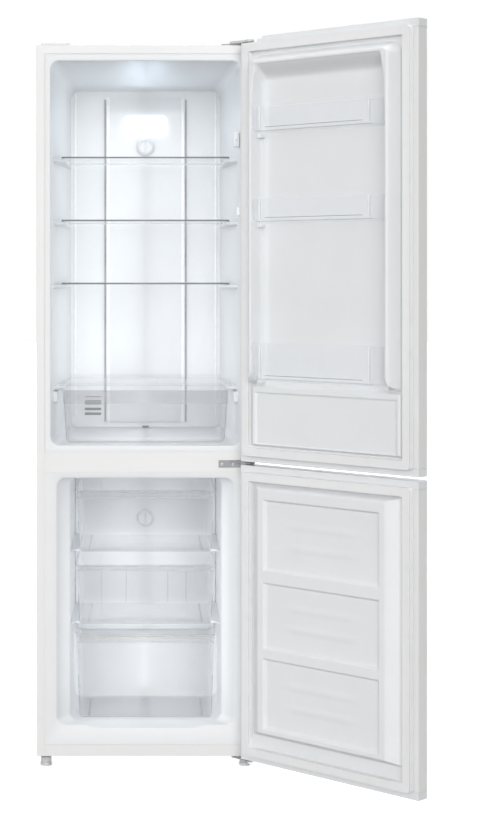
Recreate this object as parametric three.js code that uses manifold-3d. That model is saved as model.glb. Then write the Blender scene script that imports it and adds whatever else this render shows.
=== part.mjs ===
// Bottom freezer refrigerator with both doors open. Millimetres, +Z up, front towards -Y.
// Every piece is placed from the middle of the cabinet's front plane at floor level.
import * as THREE from "three";
import { mergeVertices } from "three/addons/utils/BufferGeometryUtils.js";
import Module from "manifold-3d";

const wasm = await Module();
wasm.setup();

// Cabinet
const cabinetWidth = 540;
const cabinetDepth = 535;
const cabinetBottom = 25;
const cabinetTop = 1786;
const sheet = 1; // casing steel
const linerWall = 1.5;
const seam = 0.3; // between pieces that touch
const sideFlange = 20;
const topFlange = 21;
const linerFlange = 15;
const linerTopFlange = 18;
const foamFront = 2;
const half = cabinetWidth / 2;
const openingHalf = half - sideFlange - linerFlange;

// Rails
const railBottom = 727;
const railHeight = 52;
const railTop = railBottom + railHeight;
const bottomRailTop = 53;
const hingeRailDepth = 30;

// Fridge compartment
const fridgeDepth = 440;
const fridgeDraft = 13;
const cornerRadius = 22;
const ledgeReach = 35; // from the opening's side to the ledge's free edge
const crisperLedgeReach = 30;
const ledgeHeight = 9;
const ledgeFront = 70;
const fridgeFloor = railTop + linerFlange;
const fridgeTop = cabinetTop - topFlange - linerTopFlange;

// Freezer compartment
const railFlange = 13; // liner showing under the centre rail
const freezerLip = 42; // liner showing above the bottom rail
const lipDish = 9; // the floor lies this much above the mouth's lower edge
const mouthStep = 15; // each side, against the fridge's opening
const mouthRun = 31; // each side, from the mouth in to the walls
const mouthDepth = 45;
const freezerDepth = 455;
const freezerTop = railBottom - railFlange;
const freezerMouthBottom = bottomRailTop + freezerLip;
const freezerFloor = freezerMouthBottom + lipDish;
const freezerMouthHalf = openingHalf - mouthStep;
const freezerHalf = freezerMouthHalf - mouthRun;

// Machine compartment
const machineDepth = 205;
const machineTop = 245;
const stepFoam = 20;
const machineFront = cabinetDepth - machineDepth;
const stepBack = machineFront - stepFoam;
const stepTop = machineTop + stepFoam;

// Doors, both closed against the same front plane
const doorThickness = 45;
const gasketDepth = 14;
const gasketGap = 0.5; // left before the cabinet's front
const doorEdgeRadius = 18;
const capHeight = 19;
const skinReturn = 12.5;
const doorAboveBase = 3;
const doorAboveTop = 12;
const doorGap = 9;
const doorGapRise = 1.5; // above the rail's middle
const doorsMeet = (railBottom + railTop) / 2 + doorGapRise;
const fridgeDoorBottom = doorsMeet + doorGap / 2;
const fridgeDoorTop = cabinetTop + doorAboveTop;
const freezerDoorBottom = cabinetBottom + doorAboveBase;
const freezerDoorTop = doorsMeet - doorGap / 2;
const doorInner = -gasketDepth;
const doorOuter = doorInner - doorThickness;
const openAngle = 135;
const axisFromSide = 13;
const axisFromFace = 26;
const axisX = half - axisFromSide;
const axisY = doorOuter + axisFromFace;
const pinRadius = 4;
const boreClearance = 0.5;
const boreEnd = 2; // below the pin's end
const bossRadius = 10;
const bossFloor = 5;
const pinReach = 12;
const hingePlate = 3;
const armRadius = 12.5;
const armRoot = 22; // from the hinge axis, where the top arm leaves its plate
const notchLength = 69;
const notchCorner = 22;
const notchWall = 10;
const notchDepth = 13;
const gasketInset = 15;
const gasketWidth = 22;
const gasketCorner = 3;
const doorLinerWall = 2;

// Hinge plates and the trim over the spare hinge holes
const topPlateLength = 81;
const topPlateBack = 60;
const topPlateFront = 8;
const plateSideInset = 2;
const midPlateLength = 54;
const midPlateInset = 35; // from the cabinet's side
const midPlateBelow = 13;
const midPlateAbove = 5;
const midArmLength = 60;
const midArmProud = 8;
const midArmInset = 5;
const bottomArmLength = 57;
const screwRadius = 4;
const screwHead = 2.5;
const screwInset = 9; // from the plate's end
const screwPitch = 28;
const screwDrop = 6;
const trimInset = 11;
const trimLength = 71;
const trimFront = 3;
const trimBack = 60;
const trimHeight = 5.7;
const trimCorner = 6;

// Crisper
const crisperSpace = 143; // from the floor to its cover
const crisperGap = 1;
const crisperSideGap = 26;
const crisperTaper = 9;
const crisperFront = 75;
const crisperBackGap = 21.7; // to the air duct
const crisperCorner = 14;
const crisperCoverSideGap = 17;
const crisperCoverBackGap = 3.7;
const crisperLip = 7;
const crisperLipWall = 3;
const trayWall = 2.5;
const crisperHalf = openingHalf - crisperSideGap;
const crisperCoverHalf = openingHalf - crisperCoverSideGap;
const crisperCoverLevel = fridgeFloor + crisperSpace;

// Fridge door liner
const dykeBase = 40;
const dykeOuter = 61;
const dykeInner = 67;
const dykeFoot = 71;
const dykeTopFoot = 105; // the top dyke slopes down further into the recess
const dykeHeight = 40;
const dykeTopDrop = 6; // the top dyke lies lower than the side dykes lie in
const dykeCeiling = fridgeDoorTop - dykeTopDrop;
const blockAboveCover = 8;
const blockTop = crisperCoverLevel + blockAboveCover;
const blockHeight = 10;
const blockRun = 6;
const blockTopRun = 5;
const dykeLanding = 30; // over which the side dykes rise from the block
const blockPanelDepth = 4;
const blockPanelRun = 4;
const blockPanelInset = 54;
const blockPanelRise = 45;
const blockPanelDrop = 12;
const blockPanelBottom = fridgeDoorBottom + blockPanelRise;
const blockPanelTop = blockTop - blockPanelDrop;

// Freezer door liner
const plugHeight = 25;
const plugRun = 38;
const plugEndRun = 15;
const plugFoot = 64; // from the door's bottom
const plugHead = 38; // from the door's top
const plugBottom = freezerDoorBottom + plugFoot;
const plugTop = freezerDoorTop - plugHead;
const panelInset = 93.5;
const panelHalf = half - panelInset;
const panelDepth = 8;
const panelEdge = 6;
const panelFoot = 28;
const lowPanelHeight = 172;
const lowPanelGap = 21.5;
const middlePanelHeight = 161.5;
const highPanelGap = 27;
const panelHead = 37;
const lowPanelFloor = plugBottom + panelFoot;
const middlePanelFloor = lowPanelFloor + lowPanelHeight + lowPanelGap;
const highPanelFloor = middlePanelFloor + middlePanelHeight + highPanelGap;
const panelLevels = [
  [lowPanelFloor, lowPanelFloor + lowPanelHeight],
  [middlePanelFloor, middlePanelFloor + middlePanelHeight],
  [highPanelFloor, plugTop - panelHead],
];

// Air duct, lamp and controls on the fridge's back wall
const ductHalf = 108;
const ductRise = 26; // above the floor
const ductDrop = 50; // below the ceiling
const ductDepth = 13;
const ductBottom = fridgeFloor + ductRise;
const ductTop = fridgeTop - ductDrop;
const ductFront = fridgeDepth - seam - ductDepth;
const ductFoot = 5;
const outletHeight = 80;
const outletDrop = 30; // below the shelf over it
const outletFromFace = 5;
const outletWidth = 4;
const passageHalf = 60;
const passageDepth = 6;
const passageFromBack = 10;
const passageBehindCover = 30; // from the freezer cover's face
const passageRise = 30;
const passageStraight = 6;
const panelWall = 2;
const lampHalf = 56.5;
const lampHeight = 54;
const lampDrop = 51; // below the duct's top
const lampProud = 4;
const lampLip = 4;
const lampCorner = 4;
const boardInset = 10;
const boardRise = 8;
const boardThickness = 1.6;
const lampTop = ductTop - lampDrop;
const lampBottom = lampTop - lampHeight;
const knobRadius = 23;
const knobDepth = 12;
const knobShaft = 4;
const knobBelowLamp = 30;
const shaftEnd = 1.5;
const thermostatHalf = 22;
const fridgeKnobLevel = lampBottom - knobBelowLamp;

// Evaporator cover on the freezer's back wall, and what is behind it
const coverSpace = 55; // from its face to the back wall
const coverRim = 12;
const coverFront = freezerDepth - coverSpace;
const grilleHalf = 50;
const grilleX = 70;
const grilleWidth = 6;
const grillePitch = 14;
const grilleInset = 20;
const fanDrop = 84; // below the ceiling
const fanLevel = freezerTop - fanDrop;
const knobBelowFan = 65;
const freezerKnobLevel = fanLevel - knobBelowFan;
const fanRadius = 50;
const hubRadius = 14;
const fanShaft = 3;
const shaftTip = 4;
const fanMotorRadius = 26;
const fanMotorDepth = 14;
const fanMotorGap = 1.5;
const fanThickness = 14;
const bladeThickness = 1.6;
const bladeWidth = 26.6;
const bladeAngle = 24;
const bladeCount = 5;
const evaporatorSideGap = 39;
const evaporatorRise = 35; // above the step
const evaporatorBelowFan = 110;
const evaporatorDepth = 44;
const evaporatorHalf = freezerHalf - evaporatorSideGap;
const evaporatorBottom = stepTop + evaporatorRise;
const evaporatorTop = fanLevel - evaporatorBelowFan;
const finCount = 20;
const finThickness = 2;
const finRoot = 3;
const heaterRadius = 4;
const heaterInset = 10;

// Shelves
const glassThickness = 4;
const glassCorner = 6;
const glassFront = 80;
const shelfSideGap = 23;
const shelfBackGap = 46.7; // to the air duct
const topShelfDrop = 236.5; // below the ceiling
const topShelfPitch = 158.5;
const lowShelfPitch = 159;
const glassHalf = openingHalf - shelfSideGap;
const glassDepth = ductFront - shelfBackGap - glassFront;
const topShelfLevel = fridgeTop - topShelfDrop;
const middleShelfLevel = topShelfLevel - topShelfPitch;
const bottomShelfLevel = middleShelfLevel - lowShelfPitch;
const shelfLevels = [
  ["bottom", bottomShelfLevel],
  ["middle", middleShelfLevel],
  ["top", topShelfLevel],
];

// Freezer drawers
const drawerSideGap = 14.5;
const drawerFront = 70;
const drawerBackGap = 6; // to the freezer's knob
const lowDrawerBackGap = 12; // to the step
const drawerTaper = 8;
const drawerCorner = 12;
const lowDrawerHeight = 209;
const middleDrawerGap = 26;
const middleDrawerHeight = 149;
const topDrawerGap = 33;
const topDrawerHeadroom = 39;
const runnerReach = 24;
const runnerHeight = 8;
const runnerInset = 5;
const drawerHalf = freezerHalf - drawerSideGap;
const drawerDepth = coverFront - knobDepth - drawerBackGap - drawerFront;
const lowDrawerDepth = stepBack - lowDrawerBackGap - drawerFront;
const middleDrawerFloor = freezerFloor + lowDrawerHeight + middleDrawerGap;
const topDrawerFloor = middleDrawerFloor + middleDrawerHeight + topDrawerGap;
const drawerLevels = [
  ["bottom", freezerFloor, freezerFloor + lowDrawerHeight],
  ["middle", middleDrawerFloor, middleDrawerFloor + middleDrawerHeight],
  ["top", topDrawerFloor, freezerTop - topDrawerHeadroom],
];

// Door bins
const binReach = 50;
const binGap = 2.5;
const binBack = 1;
const binTaper = 2;
const binCorner = 8;
const bottomBinRise = 18; // above the block
const bottomBinHeight = 90;
const middleBinHeight = 60;
const topBinHeight = 65;
const topBinDrop = 163; // from the recess's top to the bin's floor
const binPitch = 217;
const bottomBinFloor = blockTop + bottomBinRise;
const topBinFloor = dykeCeiling - dykeFoot - topBinDrop;
const middleBinFloor = topBinFloor - binPitch;
const binLevels = [
  ["bottom", bottomBinFloor, bottomBinFloor + bottomBinHeight],
  ["middle", middleBinFloor, middleBinFloor + middleBinHeight],
  ["top", topBinFloor, topBinFloor + topBinHeight],
];
const lugHeight = 10;
const lugReach = 9;
const lugDepth = 20;

// Compressor and what stands round it
const compressorRadius = 70;
const compressorHeight = 150;
const compressorX = 60;
const compressorSetBack = 2.5; // behind the middle of its space
const compressorY = cabinetDepth - machineDepth / 2 + compressorSetBack;
const compressorFootHalf = 90;
const compressorFootSide = 45;
const compressorFootPlate = 3;
const grommetX = 78;
const grommetSide = 34;
const grommetRadius = 9;
const grommetHeight = 9;
const baseLevel = 33;
const basePlate = 2;
const baseFrontGap = 15;
const baseBackGap = 10;
const dripTrayDepth = 26;
const dripTrayHalf = 85;
const dripTraySide = 62;
const dripTrayTaper = 5;
const dripTrayWall = 2;
const dripTrayCorner = 12;
const ventHalf = 45;
const ventPitch = 120;
const ventOffset = 40;
const ventWidth = 8;
const ventRise = 30;
const ventStart = 35; // above the compressor's plate
const glandFromSide = 90;
const glandX = glandFromSide - half;
const glandLevel = 90;
const glandRadius = 10;
const glandLip = 4;
const glandReach = 6;
const cordBore = 4;

// Condenser tube behind the left wall
const coilRadius = 2.4;
const coilPasses = 8;
const coilPitch = 56;
const coilFront = 45;
const coilRise = 55; // above the step
const coilDrop = 96; // below the cabinet's top
const coilEnd = 35;
const coilBottom = stepTop + coilRise;
const coilTop = cabinetTop - coilDrop;
const coilX = -half + sheet + seam + coilRadius;

// Feet, rollers and the door switch
const footRadius = 14;
const footClearance = 0.7; // under the hinge plate
const footFromSide = 23.4;
const footY = 15;
const footStem = 4;
const stemRise = 20;
const footHeight = cabinetBottom - seam - hingePlate - footClearance;
const stemTop = cabinetBottom + stemRise;
const rollerRadius = 15;
const rollerWidth = 17;
const rollerFromSide = 30;
const rollerFromBack = 40;
const rollerPin = 3;
const rollerX = half - rollerFromSide;
const rollerY = cabinetDepth - rollerFromBack;
const earThickness = 2;
const earHalf = 11;
const earDrop = 8; // below the roller's pin
const switchDrop = 194; // below the ceiling
const switchHeight = 36;
const switchFront = 10;
const switchDepth = 32;
const switchWidth = 14;
const switchLevel = fridgeTop - switchDrop;
const plungerFromWall = 9;
const plungerRadius = 2.5;
const plungerOut = 6;
const plungerIn = 6;
const plungerTravel = 5;
const plungerEnd = 2;

function material(color, roughness, metalness = 0, opacity = 1) {
  return new THREE.MeshStandardMaterial({ color, roughness, metalness, opacity, transparent: opacity < 1 });
}

const whiteSteel = material(0xf3f3f2, 0.35);
const whitePlastic = material(0xf0f1f2, 0.4);
const gasketRubber = material(0xe9eaea, 0.7);
const clearPlastic = material(0xeef3f5, 0.12, 0, 0.35);
const shelfGlass = material(0xdfeeee, 0.05, 0, 0.35);
const lampPlastic = material(0xffffff, 0.3);
const greySteel = material(0x9a9c9e, 0.35, 1);
const zincSteel = material(0xb4b7b8, 0.45, 1);
const blackPaint = material(0x1c1c1e, 0.5);
const aluminium = material(0xc9cccd, 0.4, 1);
const copper = material(0xb87a55, 0.35, 1);
const darkPlastic = material(0x2b2c2e, 0.6);
const greyPlastic = material(0xb6b8ba, 0.4);
const foam = material(0xe8d9a0, 0.95);

// ---------- solids ----------

function solidOf(geometry) {
  const bare = geometry.clone();
  bare.deleteAttribute("normal");
  bare.deleteAttribute("uv");
  const merged = mergeVertices(bare, 1e-4);
  const mesh = new wasm.Mesh({
    numProp: 3,
    vertProperties: merged.attributes.position.array,
    triVerts: new Uint32Array(merged.index.array),
  });
  return new wasm.Manifold(mesh);
}

function geometryOf(solid) {
  const mesh = solid.getMesh();
  const geometry = new THREE.BufferGeometry();
  geometry.setAttribute("position", new THREE.BufferAttribute(Float32Array.from(mesh.vertProperties), 3));
  geometry.setIndex(new THREE.BufferAttribute(Uint32Array.from(mesh.triVerts), 1));
  const flat = geometry.toNonIndexed();
  flat.computeVertexNormals();
  return flat;
}

const join = (solids) => solids.reduce((whole, next) => whole.add(next));
const cut = (solid, tools) => tools.reduce((whole, tool) => whole.subtract(tool), solid);

function block([x0, x1], [y0, y1], [z0, z1]) {
  const geometry = new THREE.BoxGeometry(x1 - x0, y1 - y0, z1 - z0);
  geometry.translate((x0 + x1) / 2, (y0 + y1) / 2, (z0 + z1) / 2);
  return solidOf(geometry);
}

// An outline pushed along an axis: x outlines hold [y, z], y outlines [x, z] and z outlines [x, y].
function extrude(outline, axis, from, to) {
  const shape = new THREE.Shape(outline.map(([a, b]) => new THREE.Vector2(a, b)));
  const geometry = new THREE.ExtrudeGeometry(shape, { depth: to - from, bevelEnabled: false });
  const [x, y, z] = [[1, 0, 0], [0, 1, 0], [0, 0, 1]].map((v) => new THREE.Vector3(...v));
  const turn = new THREE.Matrix4();
  if (axis === "x") turn.makeBasis(y, z, x).setPosition(from, 0, 0);
  if (axis === "y") turn.makeBasis(x, z, y.clone().negate()).setPosition(0, to, 0);
  if (axis === "z") turn.setPosition(0, 0, from);
  return solidOf(geometry.applyMatrix4(turn));
}

function rod(axis, [x, y, z], radius, from, to, sides = 20) {
  const geometry = new THREE.CylinderGeometry(radius, radius, to - from, sides);
  const middle = (from + to) / 2;
  if (axis === "x") geometry.rotateZ(-Math.PI / 2).translate(middle, y, z);
  if (axis === "y") geometry.translate(x, middle, z);
  if (axis === "z") geometry.rotateX(Math.PI / 2).translate(x, y, middle);
  return solidOf(geometry);
}

function arc([cx, cy], radius, startDegrees, endDegrees, steps) {
  return Array.from({ length: steps + 1 }, (_, i) => {
    const angle = THREE.MathUtils.degToRad(startDegrees + ((endDegrees - startDegrees) * i) / steps);
    return [cx + radius * Math.cos(angle), cy + radius * Math.sin(angle)];
  });
}

function roundedOutline([x0, x1], [y0, y1], radius, steps = 4) {
  return [
    ...arc([x1 - radius, y0 + radius], radius, -90, 0, steps),
    ...arc([x1 - radius, y1 - radius], radius, 0, 90, steps),
    ...arc([x0 + radius, y1 - radius], radius, 90, 180, steps),
    ...arc([x0 + radius, y0 + radius], radius, 180, 270, steps),
  ];
}

// A closed skin through loops of equally many points, with a flat cap on its first and last loop.
function skin(loops) {
  const count = loops[0].length;
  const points = loops.flat();
  const faces = [];
  for (let ring = 0; ring + 1 < loops.length; ring++) {
    for (let i = 0; i < count; i++) {
      const a = ring * count + i;
      const b = ring * count + ((i + 1) % count);
      faces.push(a, b, a + count, b, b + count, a + count);
    }
  }
  const last = (loops.length - 1) * count;
  for (let i = 1; i + 1 < count; i++) {
    faces.push(0, i + 1, i);
    faces.push(last, last + i, last + i + 1);
  }
  return closed(points, faces);
}

function closed(points, faces) {
  const volume = (list) =>
    list.reduce((sum, _, i) => {
      if (i % 3) return sum;
      const [a, b, c] = [0, 1, 2].map((k) => new THREE.Vector3(...points[list[i + k]]));
      return sum + a.dot(b.cross(c)) / 6;
    }, 0);
  const outward = volume(faces) > 0 ? faces : faces.slice().reverse();
  const geometry = new THREE.BufferGeometry();
  geometry.setAttribute("position", new THREE.Float32BufferAttribute(points.flat(), 3));
  geometry.setIndex(outward);
  return solidOf(geometry);
}

const frontLoop = (xs, zs, radius, y) => roundedOutline(xs, zs, radius).map(([x, z]) => [x, y, z]);
const planLoop = (xs, ys, radius, z) => roundedOutline(xs, ys, radius).map(([x, y]) => [x, y, z]);

// A relief over a grid: front and back surfaces from two height functions of x and z.
function relief(xs, zs, frontAt, backAt) {
  const points = [];
  for (const side of [frontAt, backAt]) {
    for (const z of zs) {
      for (const x of xs) points.push([x, side(x, z), z]);
    }
  }
  const columns = xs.length;
  const rows = zs.length;
  const at = (i, j, back) => (back ? columns * rows : 0) + j * columns + i;
  const faces = [];
  const quad = (a, b, c, d) => faces.push(a, b, c, a, c, d);
  for (let j = 0; j + 1 < rows; j++) {
    for (let i = 0; i + 1 < columns; i++) {
      quad(at(i, j), at(i, j + 1), at(i + 1, j + 1), at(i + 1, j));
      const [a, b, c, d] = [at(i, j, 1), at(i, j + 1, 1), at(i + 1, j + 1, 1), at(i + 1, j, 1)];
      faces.push(a, c, b, a, d, c);
    }
  }
  for (let i = 0; i + 1 < columns; i++) {
    quad(at(i, 0), at(i + 1, 0), at(i + 1, 0, 1), at(i, 0, 1));
    quad(at(i + 1, rows - 1), at(i, rows - 1), at(i, rows - 1, 1), at(i + 1, rows - 1, 1));
  }
  for (let j = 0; j + 1 < rows; j++) {
    quad(at(0, j + 1), at(0, j), at(0, j, 1), at(0, j + 1, 1));
    const end = columns - 1;
    quad(at(end, j), at(end, j + 1), at(end, j + 1, 1), at(end, j, 1));
  }
  return closed(points, faces);
}

// An open-topped tub: outer and inner skins from plan loops, with its sides leaning in to the floor.
function tub({ x, y, z, taper, wall, radius }) {
  const loop = (grow, level, lean) =>
    planLoop([x[0] + lean - grow, x[1] - lean + grow], [y[0] - grow, y[1] + grow], radius + grow, level);
  return skin([
    loop(0, z[0], taper),
    loop(0, z[1], 0),
    loop(-wall, z[1], 0),
    loop(-wall, z[0] + wall, taper),
  ]);
}

// ---------- cabinet ----------

function outerCasing() {
  const band = (side, top) => [
    [-half, cabinetBottom],
    [side - half, cabinetBottom],
    [side - half, cabinetTop - top],
    [half - side, cabinetTop - top],
    [half - side, cabinetBottom],
    [half, cabinetBottom],
    [half, cabinetTop],
    [-half, cabinetTop],
  ];
  return join([
    extrude(band(sheet, sheet), "y", 0, cabinetDepth),
    extrude(band(sideFlange, topFlange), "y", 0, sheet),
  ]);
}

const innerHalf = half - sheet - seam;

function rearPanel() {
  const back = cabinetDepth - seam;
  return block([-innerHalf, innerHalf], [back - sheet, back], [machineTop + seam, cabinetTop - sheet - seam]);
}

function basePan() {
  const front = hingeRailDepth + seam;
  const back = cabinetDepth - seam - 2 * sheet;
  return extrude(
    [
      [front, cabinetBottom],
      [machineFront, cabinetBottom],
      [machineFront, machineTop - sheet],
      [back, machineTop - sheet],
      [back, machineTop],
      [machineFront - sheet, machineTop],
      [machineFront - sheet, cabinetBottom + sheet],
      [front, cabinetBottom + sheet],
    ],
    "x",
    -innerHalf,
    innerHalf,
  );
}

const railHalf = half - sideFlange - seam;

function centreRail() {
  return block([-railHalf, railHalf], [0, sheet], [railBottom, railTop]);
}

function bottomRail() {
  const rail = extrude(
    [
      [0, cabinetBottom],
      [hingeRailDepth, cabinetBottom],
      [hingeRailDepth, cabinetBottom + sheet],
      [sheet, cabinetBottom + sheet],
      [sheet, bottomRailTop],
      [0, bottomRailTop],
    ],
    "x",
    -railHalf,
    railHalf,
  );
  return cut(
    rail,
    [-1, 1].map((side) => footHole(side)),
  );
}

const footX = half - footFromSide;
const footHole = (side) =>
  rod("z", [side * footX, footY, 0], footStem + boreClearance, cabinetBottom - 10, cabinetBottom + 10);

// The inner half width of the fridge compartment at a depth.
const fridgeHalfAt = (y) => openingHalf - (fridgeDraft * y) / fridgeDepth;

// Loops of the fridge compartment's inside, from the front to the back wall, grown outwards by grow.
function fridgeCavity(grow) {
  const stations = [
    [0, 0],
    [fridgeDepth - cornerRadius, 0],
    [fridgeDepth - cornerRadius * 0.3, cornerRadius * 0.3],
    [fridgeDepth, cornerRadius],
  ];
  return stations.map(([y, inset]) => {
    const side = fridgeHalfAt(y) - inset + grow;
    const top = fridgeTop - (fridgeDraft * y) / fridgeDepth - inset + grow;
    return frontLoop([-side, side], [fridgeFloor - grow, top], cornerRadius, y ? y + grow : 0);
  });
}

// The channel through the foam from behind the freezer's cover up into the fridge's air duct.
function airPassage() {
  const low = coverFront + passageBehindCover;
  const high = fridgeDepth - passageFromBack;
  const bend = [freezerTop + passageStraight, fridgeFloor - passageStraight];
  const levels = [freezerTop - passageDepth, ...bend, fridgeFloor + passageRise];
  const front = [low, low, high, high].map((y, i) => [y, levels[i]]);
  const back = front.map(([y, z]) => [y + passageDepth, z]).reverse();
  return extrude([...front, ...back], "x", -passageHalf, passageHalf);
}

function ledge(side, top, reach) {
  const free = side * (openingHalf - reach);
  const back = fridgeDepth - cornerRadius;
  const wall = (y) => side * (fridgeHalfAt(y) + linerWall / 2);
  return extrude(
    [
      [free, ledgeFront],
      [wall(ledgeFront), ledgeFront],
      [wall(back), back],
      [free, back],
    ],
    "z",
    top - ledgeHeight,
    top,
  );
}

function fridgeLiner() {
  const outer = fridgeCavity(linerWall);
  const inner = fridgeCavity(0);
  const flangeZ = [railTop + seam, cabinetTop - topFlange - seam];
  const flange = (y) => frontLoop([-railHalf, railHalf], flangeZ, 2, y);
  const flangeBack = outer[0].map(([x, , z]) => [x, linerWall, z]);
  const shell = skin([...outer.slice(1).reverse(), flangeBack, flange(linerWall), flange(0), ...inner]);
  const ledges = [-1, 1].flatMap((side) => [
    ...shelfLevels.map(([, level]) => ledge(side, level - seam, ledgeReach)),
    ledge(side, crisperCoverLevel - seam, crisperLedgeReach),
  ]);
  return cut(join([shell, ...ledges]), [airPassage()]);
}

function fridgeOuter(grow) {
  const loops = fridgeCavity(linerWall + grow);
  return skin([loops[0].map(([x, , z]) => [x, -1, z]), ...loops.slice(1)]);
}

// Loops of the freezer compartment, dished at its mouth.
function freezerCavity(grow) {
  const top = freezerTop + grow;
  const mouth = freezerMouthHalf + grow;
  const side = freezerHalf + grow;
  return [
    frontLoop([-mouth, mouth], [freezerMouthBottom - grow, top], cornerRadius, 0),
    frontLoop([-side, side], [freezerFloor - grow, top], cornerRadius, mouthDepth),
    frontLoop([-side, side], [freezerFloor - grow, top], cornerRadius, freezerDepth + grow),
  ];
}

function freezerSpace(grow) {
  const loops = freezerCavity(grow);
  const space = skin([loops[0].map(([x, , z]) => [x, -1, z]), ...loops.slice(0)]);
  return cut(space, [block([-half, half], [stepBack + grow, cabinetDepth], [0, stepTop - grow])]);
}

function runner(side, top) {
  const free = side * (freezerHalf - runnerReach);
  const wall = side * (freezerHalf + linerWall / 2);
  const xs = [Math.min(free, wall), Math.max(free, wall)];
  return block(xs, [drawerFront + runnerInset, coverFront - runnerInset], [top - runnerHeight, top]);
}

function freezerLiner() {
  const flangeZ = [bottomRailTop + seam, railBottom - seam];
  const flange = extrude(roundedOutline([-railHalf, railHalf], flangeZ, 2), "y", 0, linerWall);
  const shell = cut(join([freezerSpace(linerWall), flange]), [
    freezerSpace(0),
    block([-half, half], [-mouthDepth, 0], [0, cabinetTop]),
  ]);
  const runners = drawerLevels
    .slice(1)
    .flatMap(([, level]) => [-1, 1].map((side) => runner(side, level - seam)));
  return cut(join([shell, ...runners]), [airPassage()]);
}

function cabinetFoam() {
  const back = cabinetDepth - sheet - 2 * seam;
  const body = block(
    [-innerHalf, innerHalf],
    [foamFront, back],
    [cabinetBottom + sheet + seam, cabinetTop - sheet - seam],
  );
  const machineSpace = block(
    [-half, half],
    [machineFront - sheet - seam, cabinetDepth],
    [0, machineTop + seam],
  );
  const coilPocket = block(
    [-half, coilX + coilRadius + seam],
    [coilFront - coilRadius - seam, coilFront + (coilPasses - 1) * coilPitch + coilRadius + seam],
    [coilBottom - coilEnd, coilTop + coilEnd],
  );
  const stems = [-1, 1].map((side) =>
    rod("z", [side * footX, footY, 0], footStem + boreClearance, 0, stemTop + 1),
  );
  return cut(body, [
    fridgeOuter(seam),
    freezerSpace(linerWall + seam),
    machineSpace,
    coilPocket,
    airPassage(),
    ...stems,
  ]);
}

// ---------- hinges and trims ----------

function spareHingeCover() {
  const end = trimInset - half;
  const outline = roundedOutline([end, end + trimLength], [trimFront, trimBack], trimCorner);
  return extrude(outline, "z", cabinetTop + seam, cabinetTop + seam + trimHeight);
}

const topArmLevel = cabinetTop + seam;

function topHingeBracket() {
  const outline = [
    [half - topPlateLength, topPlateBack],
    [half - topPlateLength, topPlateFront],
    [axisX - armRoot, 0],
    ...arc([axisX, axisY], armRadius, 165, 375, 10),
    [half - plateSideInset, topPlateFront],
    [half - plateSideInset, topPlateBack],
  ];
  return join([
    extrude(outline, "z", topArmLevel, topArmLevel + hingePlate),
    rod("z", [axisX, axisY], pinRadius, fridgeDoorTop - notchDepth - pinReach, topArmLevel + 1),
  ]);
}

const midPlateEnd = half - midPlateInset - midPlateLength;

function midHingeBracket() {
  const armLow = doorsMeet - hingePlate / 2;
  const front = -seam;
  const plate = block(
    [midPlateEnd, midPlateEnd + midPlateLength],
    [front - hingePlate, front],
    [armLow - midPlateBelow, armLow + midPlateAbove],
  );
  const outline = [
    [half - midArmLength, front],
    [half - midArmLength, front - midArmProud],
    ...arc([axisX, axisY], armRadius, 165, 375, 10),
    [half - midArmInset, front],
  ];
  return join([
    plate,
    extrude(outline, "z", armLow, armLow + hingePlate),
    rod("z", [axisX, axisY], pinRadius, freezerDoorTop - pinReach, fridgeDoorBottom + pinReach),
  ]);
}

function midHingeScrew(index) {
  const x = midPlateEnd + screwInset + index * screwPitch;
  const face = -2 * seam - hingePlate;
  return rod("y", [x, 0, doorsMeet - screwDrop], screwRadius, face - screwHead, face, 16);
}

function bottomHingeBracket() {
  const top = cabinetBottom - seam;
  const outline = [
    [half - bottomArmLength, hingeRailDepth - plateSideInset],
    [half - bottomArmLength, 0],
    ...arc([axisX, axisY], armRadius, 165, 375, 10),
    [half - plateSideInset, hingeRailDepth - plateSideInset],
  ];
  return cut(
    join([
      extrude(outline, "z", top - hingePlate, top),
      rod("z", [axisX, axisY], pinRadius, top - 1, freezerDoorBottom + pinReach),
    ]),
    [footHole(1)],
  );
}

// ---------- back panels, lamp, controls ----------

function airDuctCover() {
  const back = fridgeDepth - seam;
  const shell = block([-ductHalf, ductHalf], [ductFront, back], [ductBottom, ductTop]);
  const hollow = block(
    [-ductHalf + panelWall, ductHalf - panelWall],
    [ductFront + panelWall, back + 1],
    [ductBottom + panelWall, ductTop - panelWall],
  );
  const foot = block(
    [-passageHalf, passageHalf],
    [ductFront + panelWall, back + 1],
    [ductBottom - 1, ductBottom + ductFoot],
  );
  const lampHole = block(
    [-lampHalf + lampLip, lampHalf - lampLip],
    [ductFront - 1, ductFront + panelWall + 1],
    [lampBottom + lampLip, lampTop - lampLip],
  );
  const shaftHole = rod(
    "y",
    [0, 0, fridgeKnobLevel],
    knobShaft + boreClearance,
    ductFront - 1,
    ductFront + panelWall + 1,
  );
  const outlets = shelfLevels.map(([, level]) =>
    block(
      [-half, half],
      [ductFront + outletFromFace, ductFront + outletFromFace + outletWidth],
      [level - outletDrop - outletHeight, level - outletDrop],
    ),
  );
  return cut(shell, [hollow, foot, lampHole, shaftHole, ...outlets]);
}

function lampCover() {
  const face = ductFront - seam;
  const plugInset = lampLip + seam;
  return join([
    extrude(roundedOutline([-lampHalf, lampHalf], [lampBottom, lampTop], lampCorner), "y", face - lampProud, face),
    block(
      [-lampHalf + plugInset, lampHalf - plugInset],
      [face - 1, ductFront + panelWall],
      [lampBottom + plugInset, lampTop - plugInset],
    ),
  ]);
}

function lampBoard() {
  const front = ductFront + panelWall + seam;
  return block(
    [-lampHalf + boardInset, lampHalf - boardInset],
    [front, front + boardThickness],
    [lampBottom + boardRise, lampTop - boardRise],
  );
}

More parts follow.
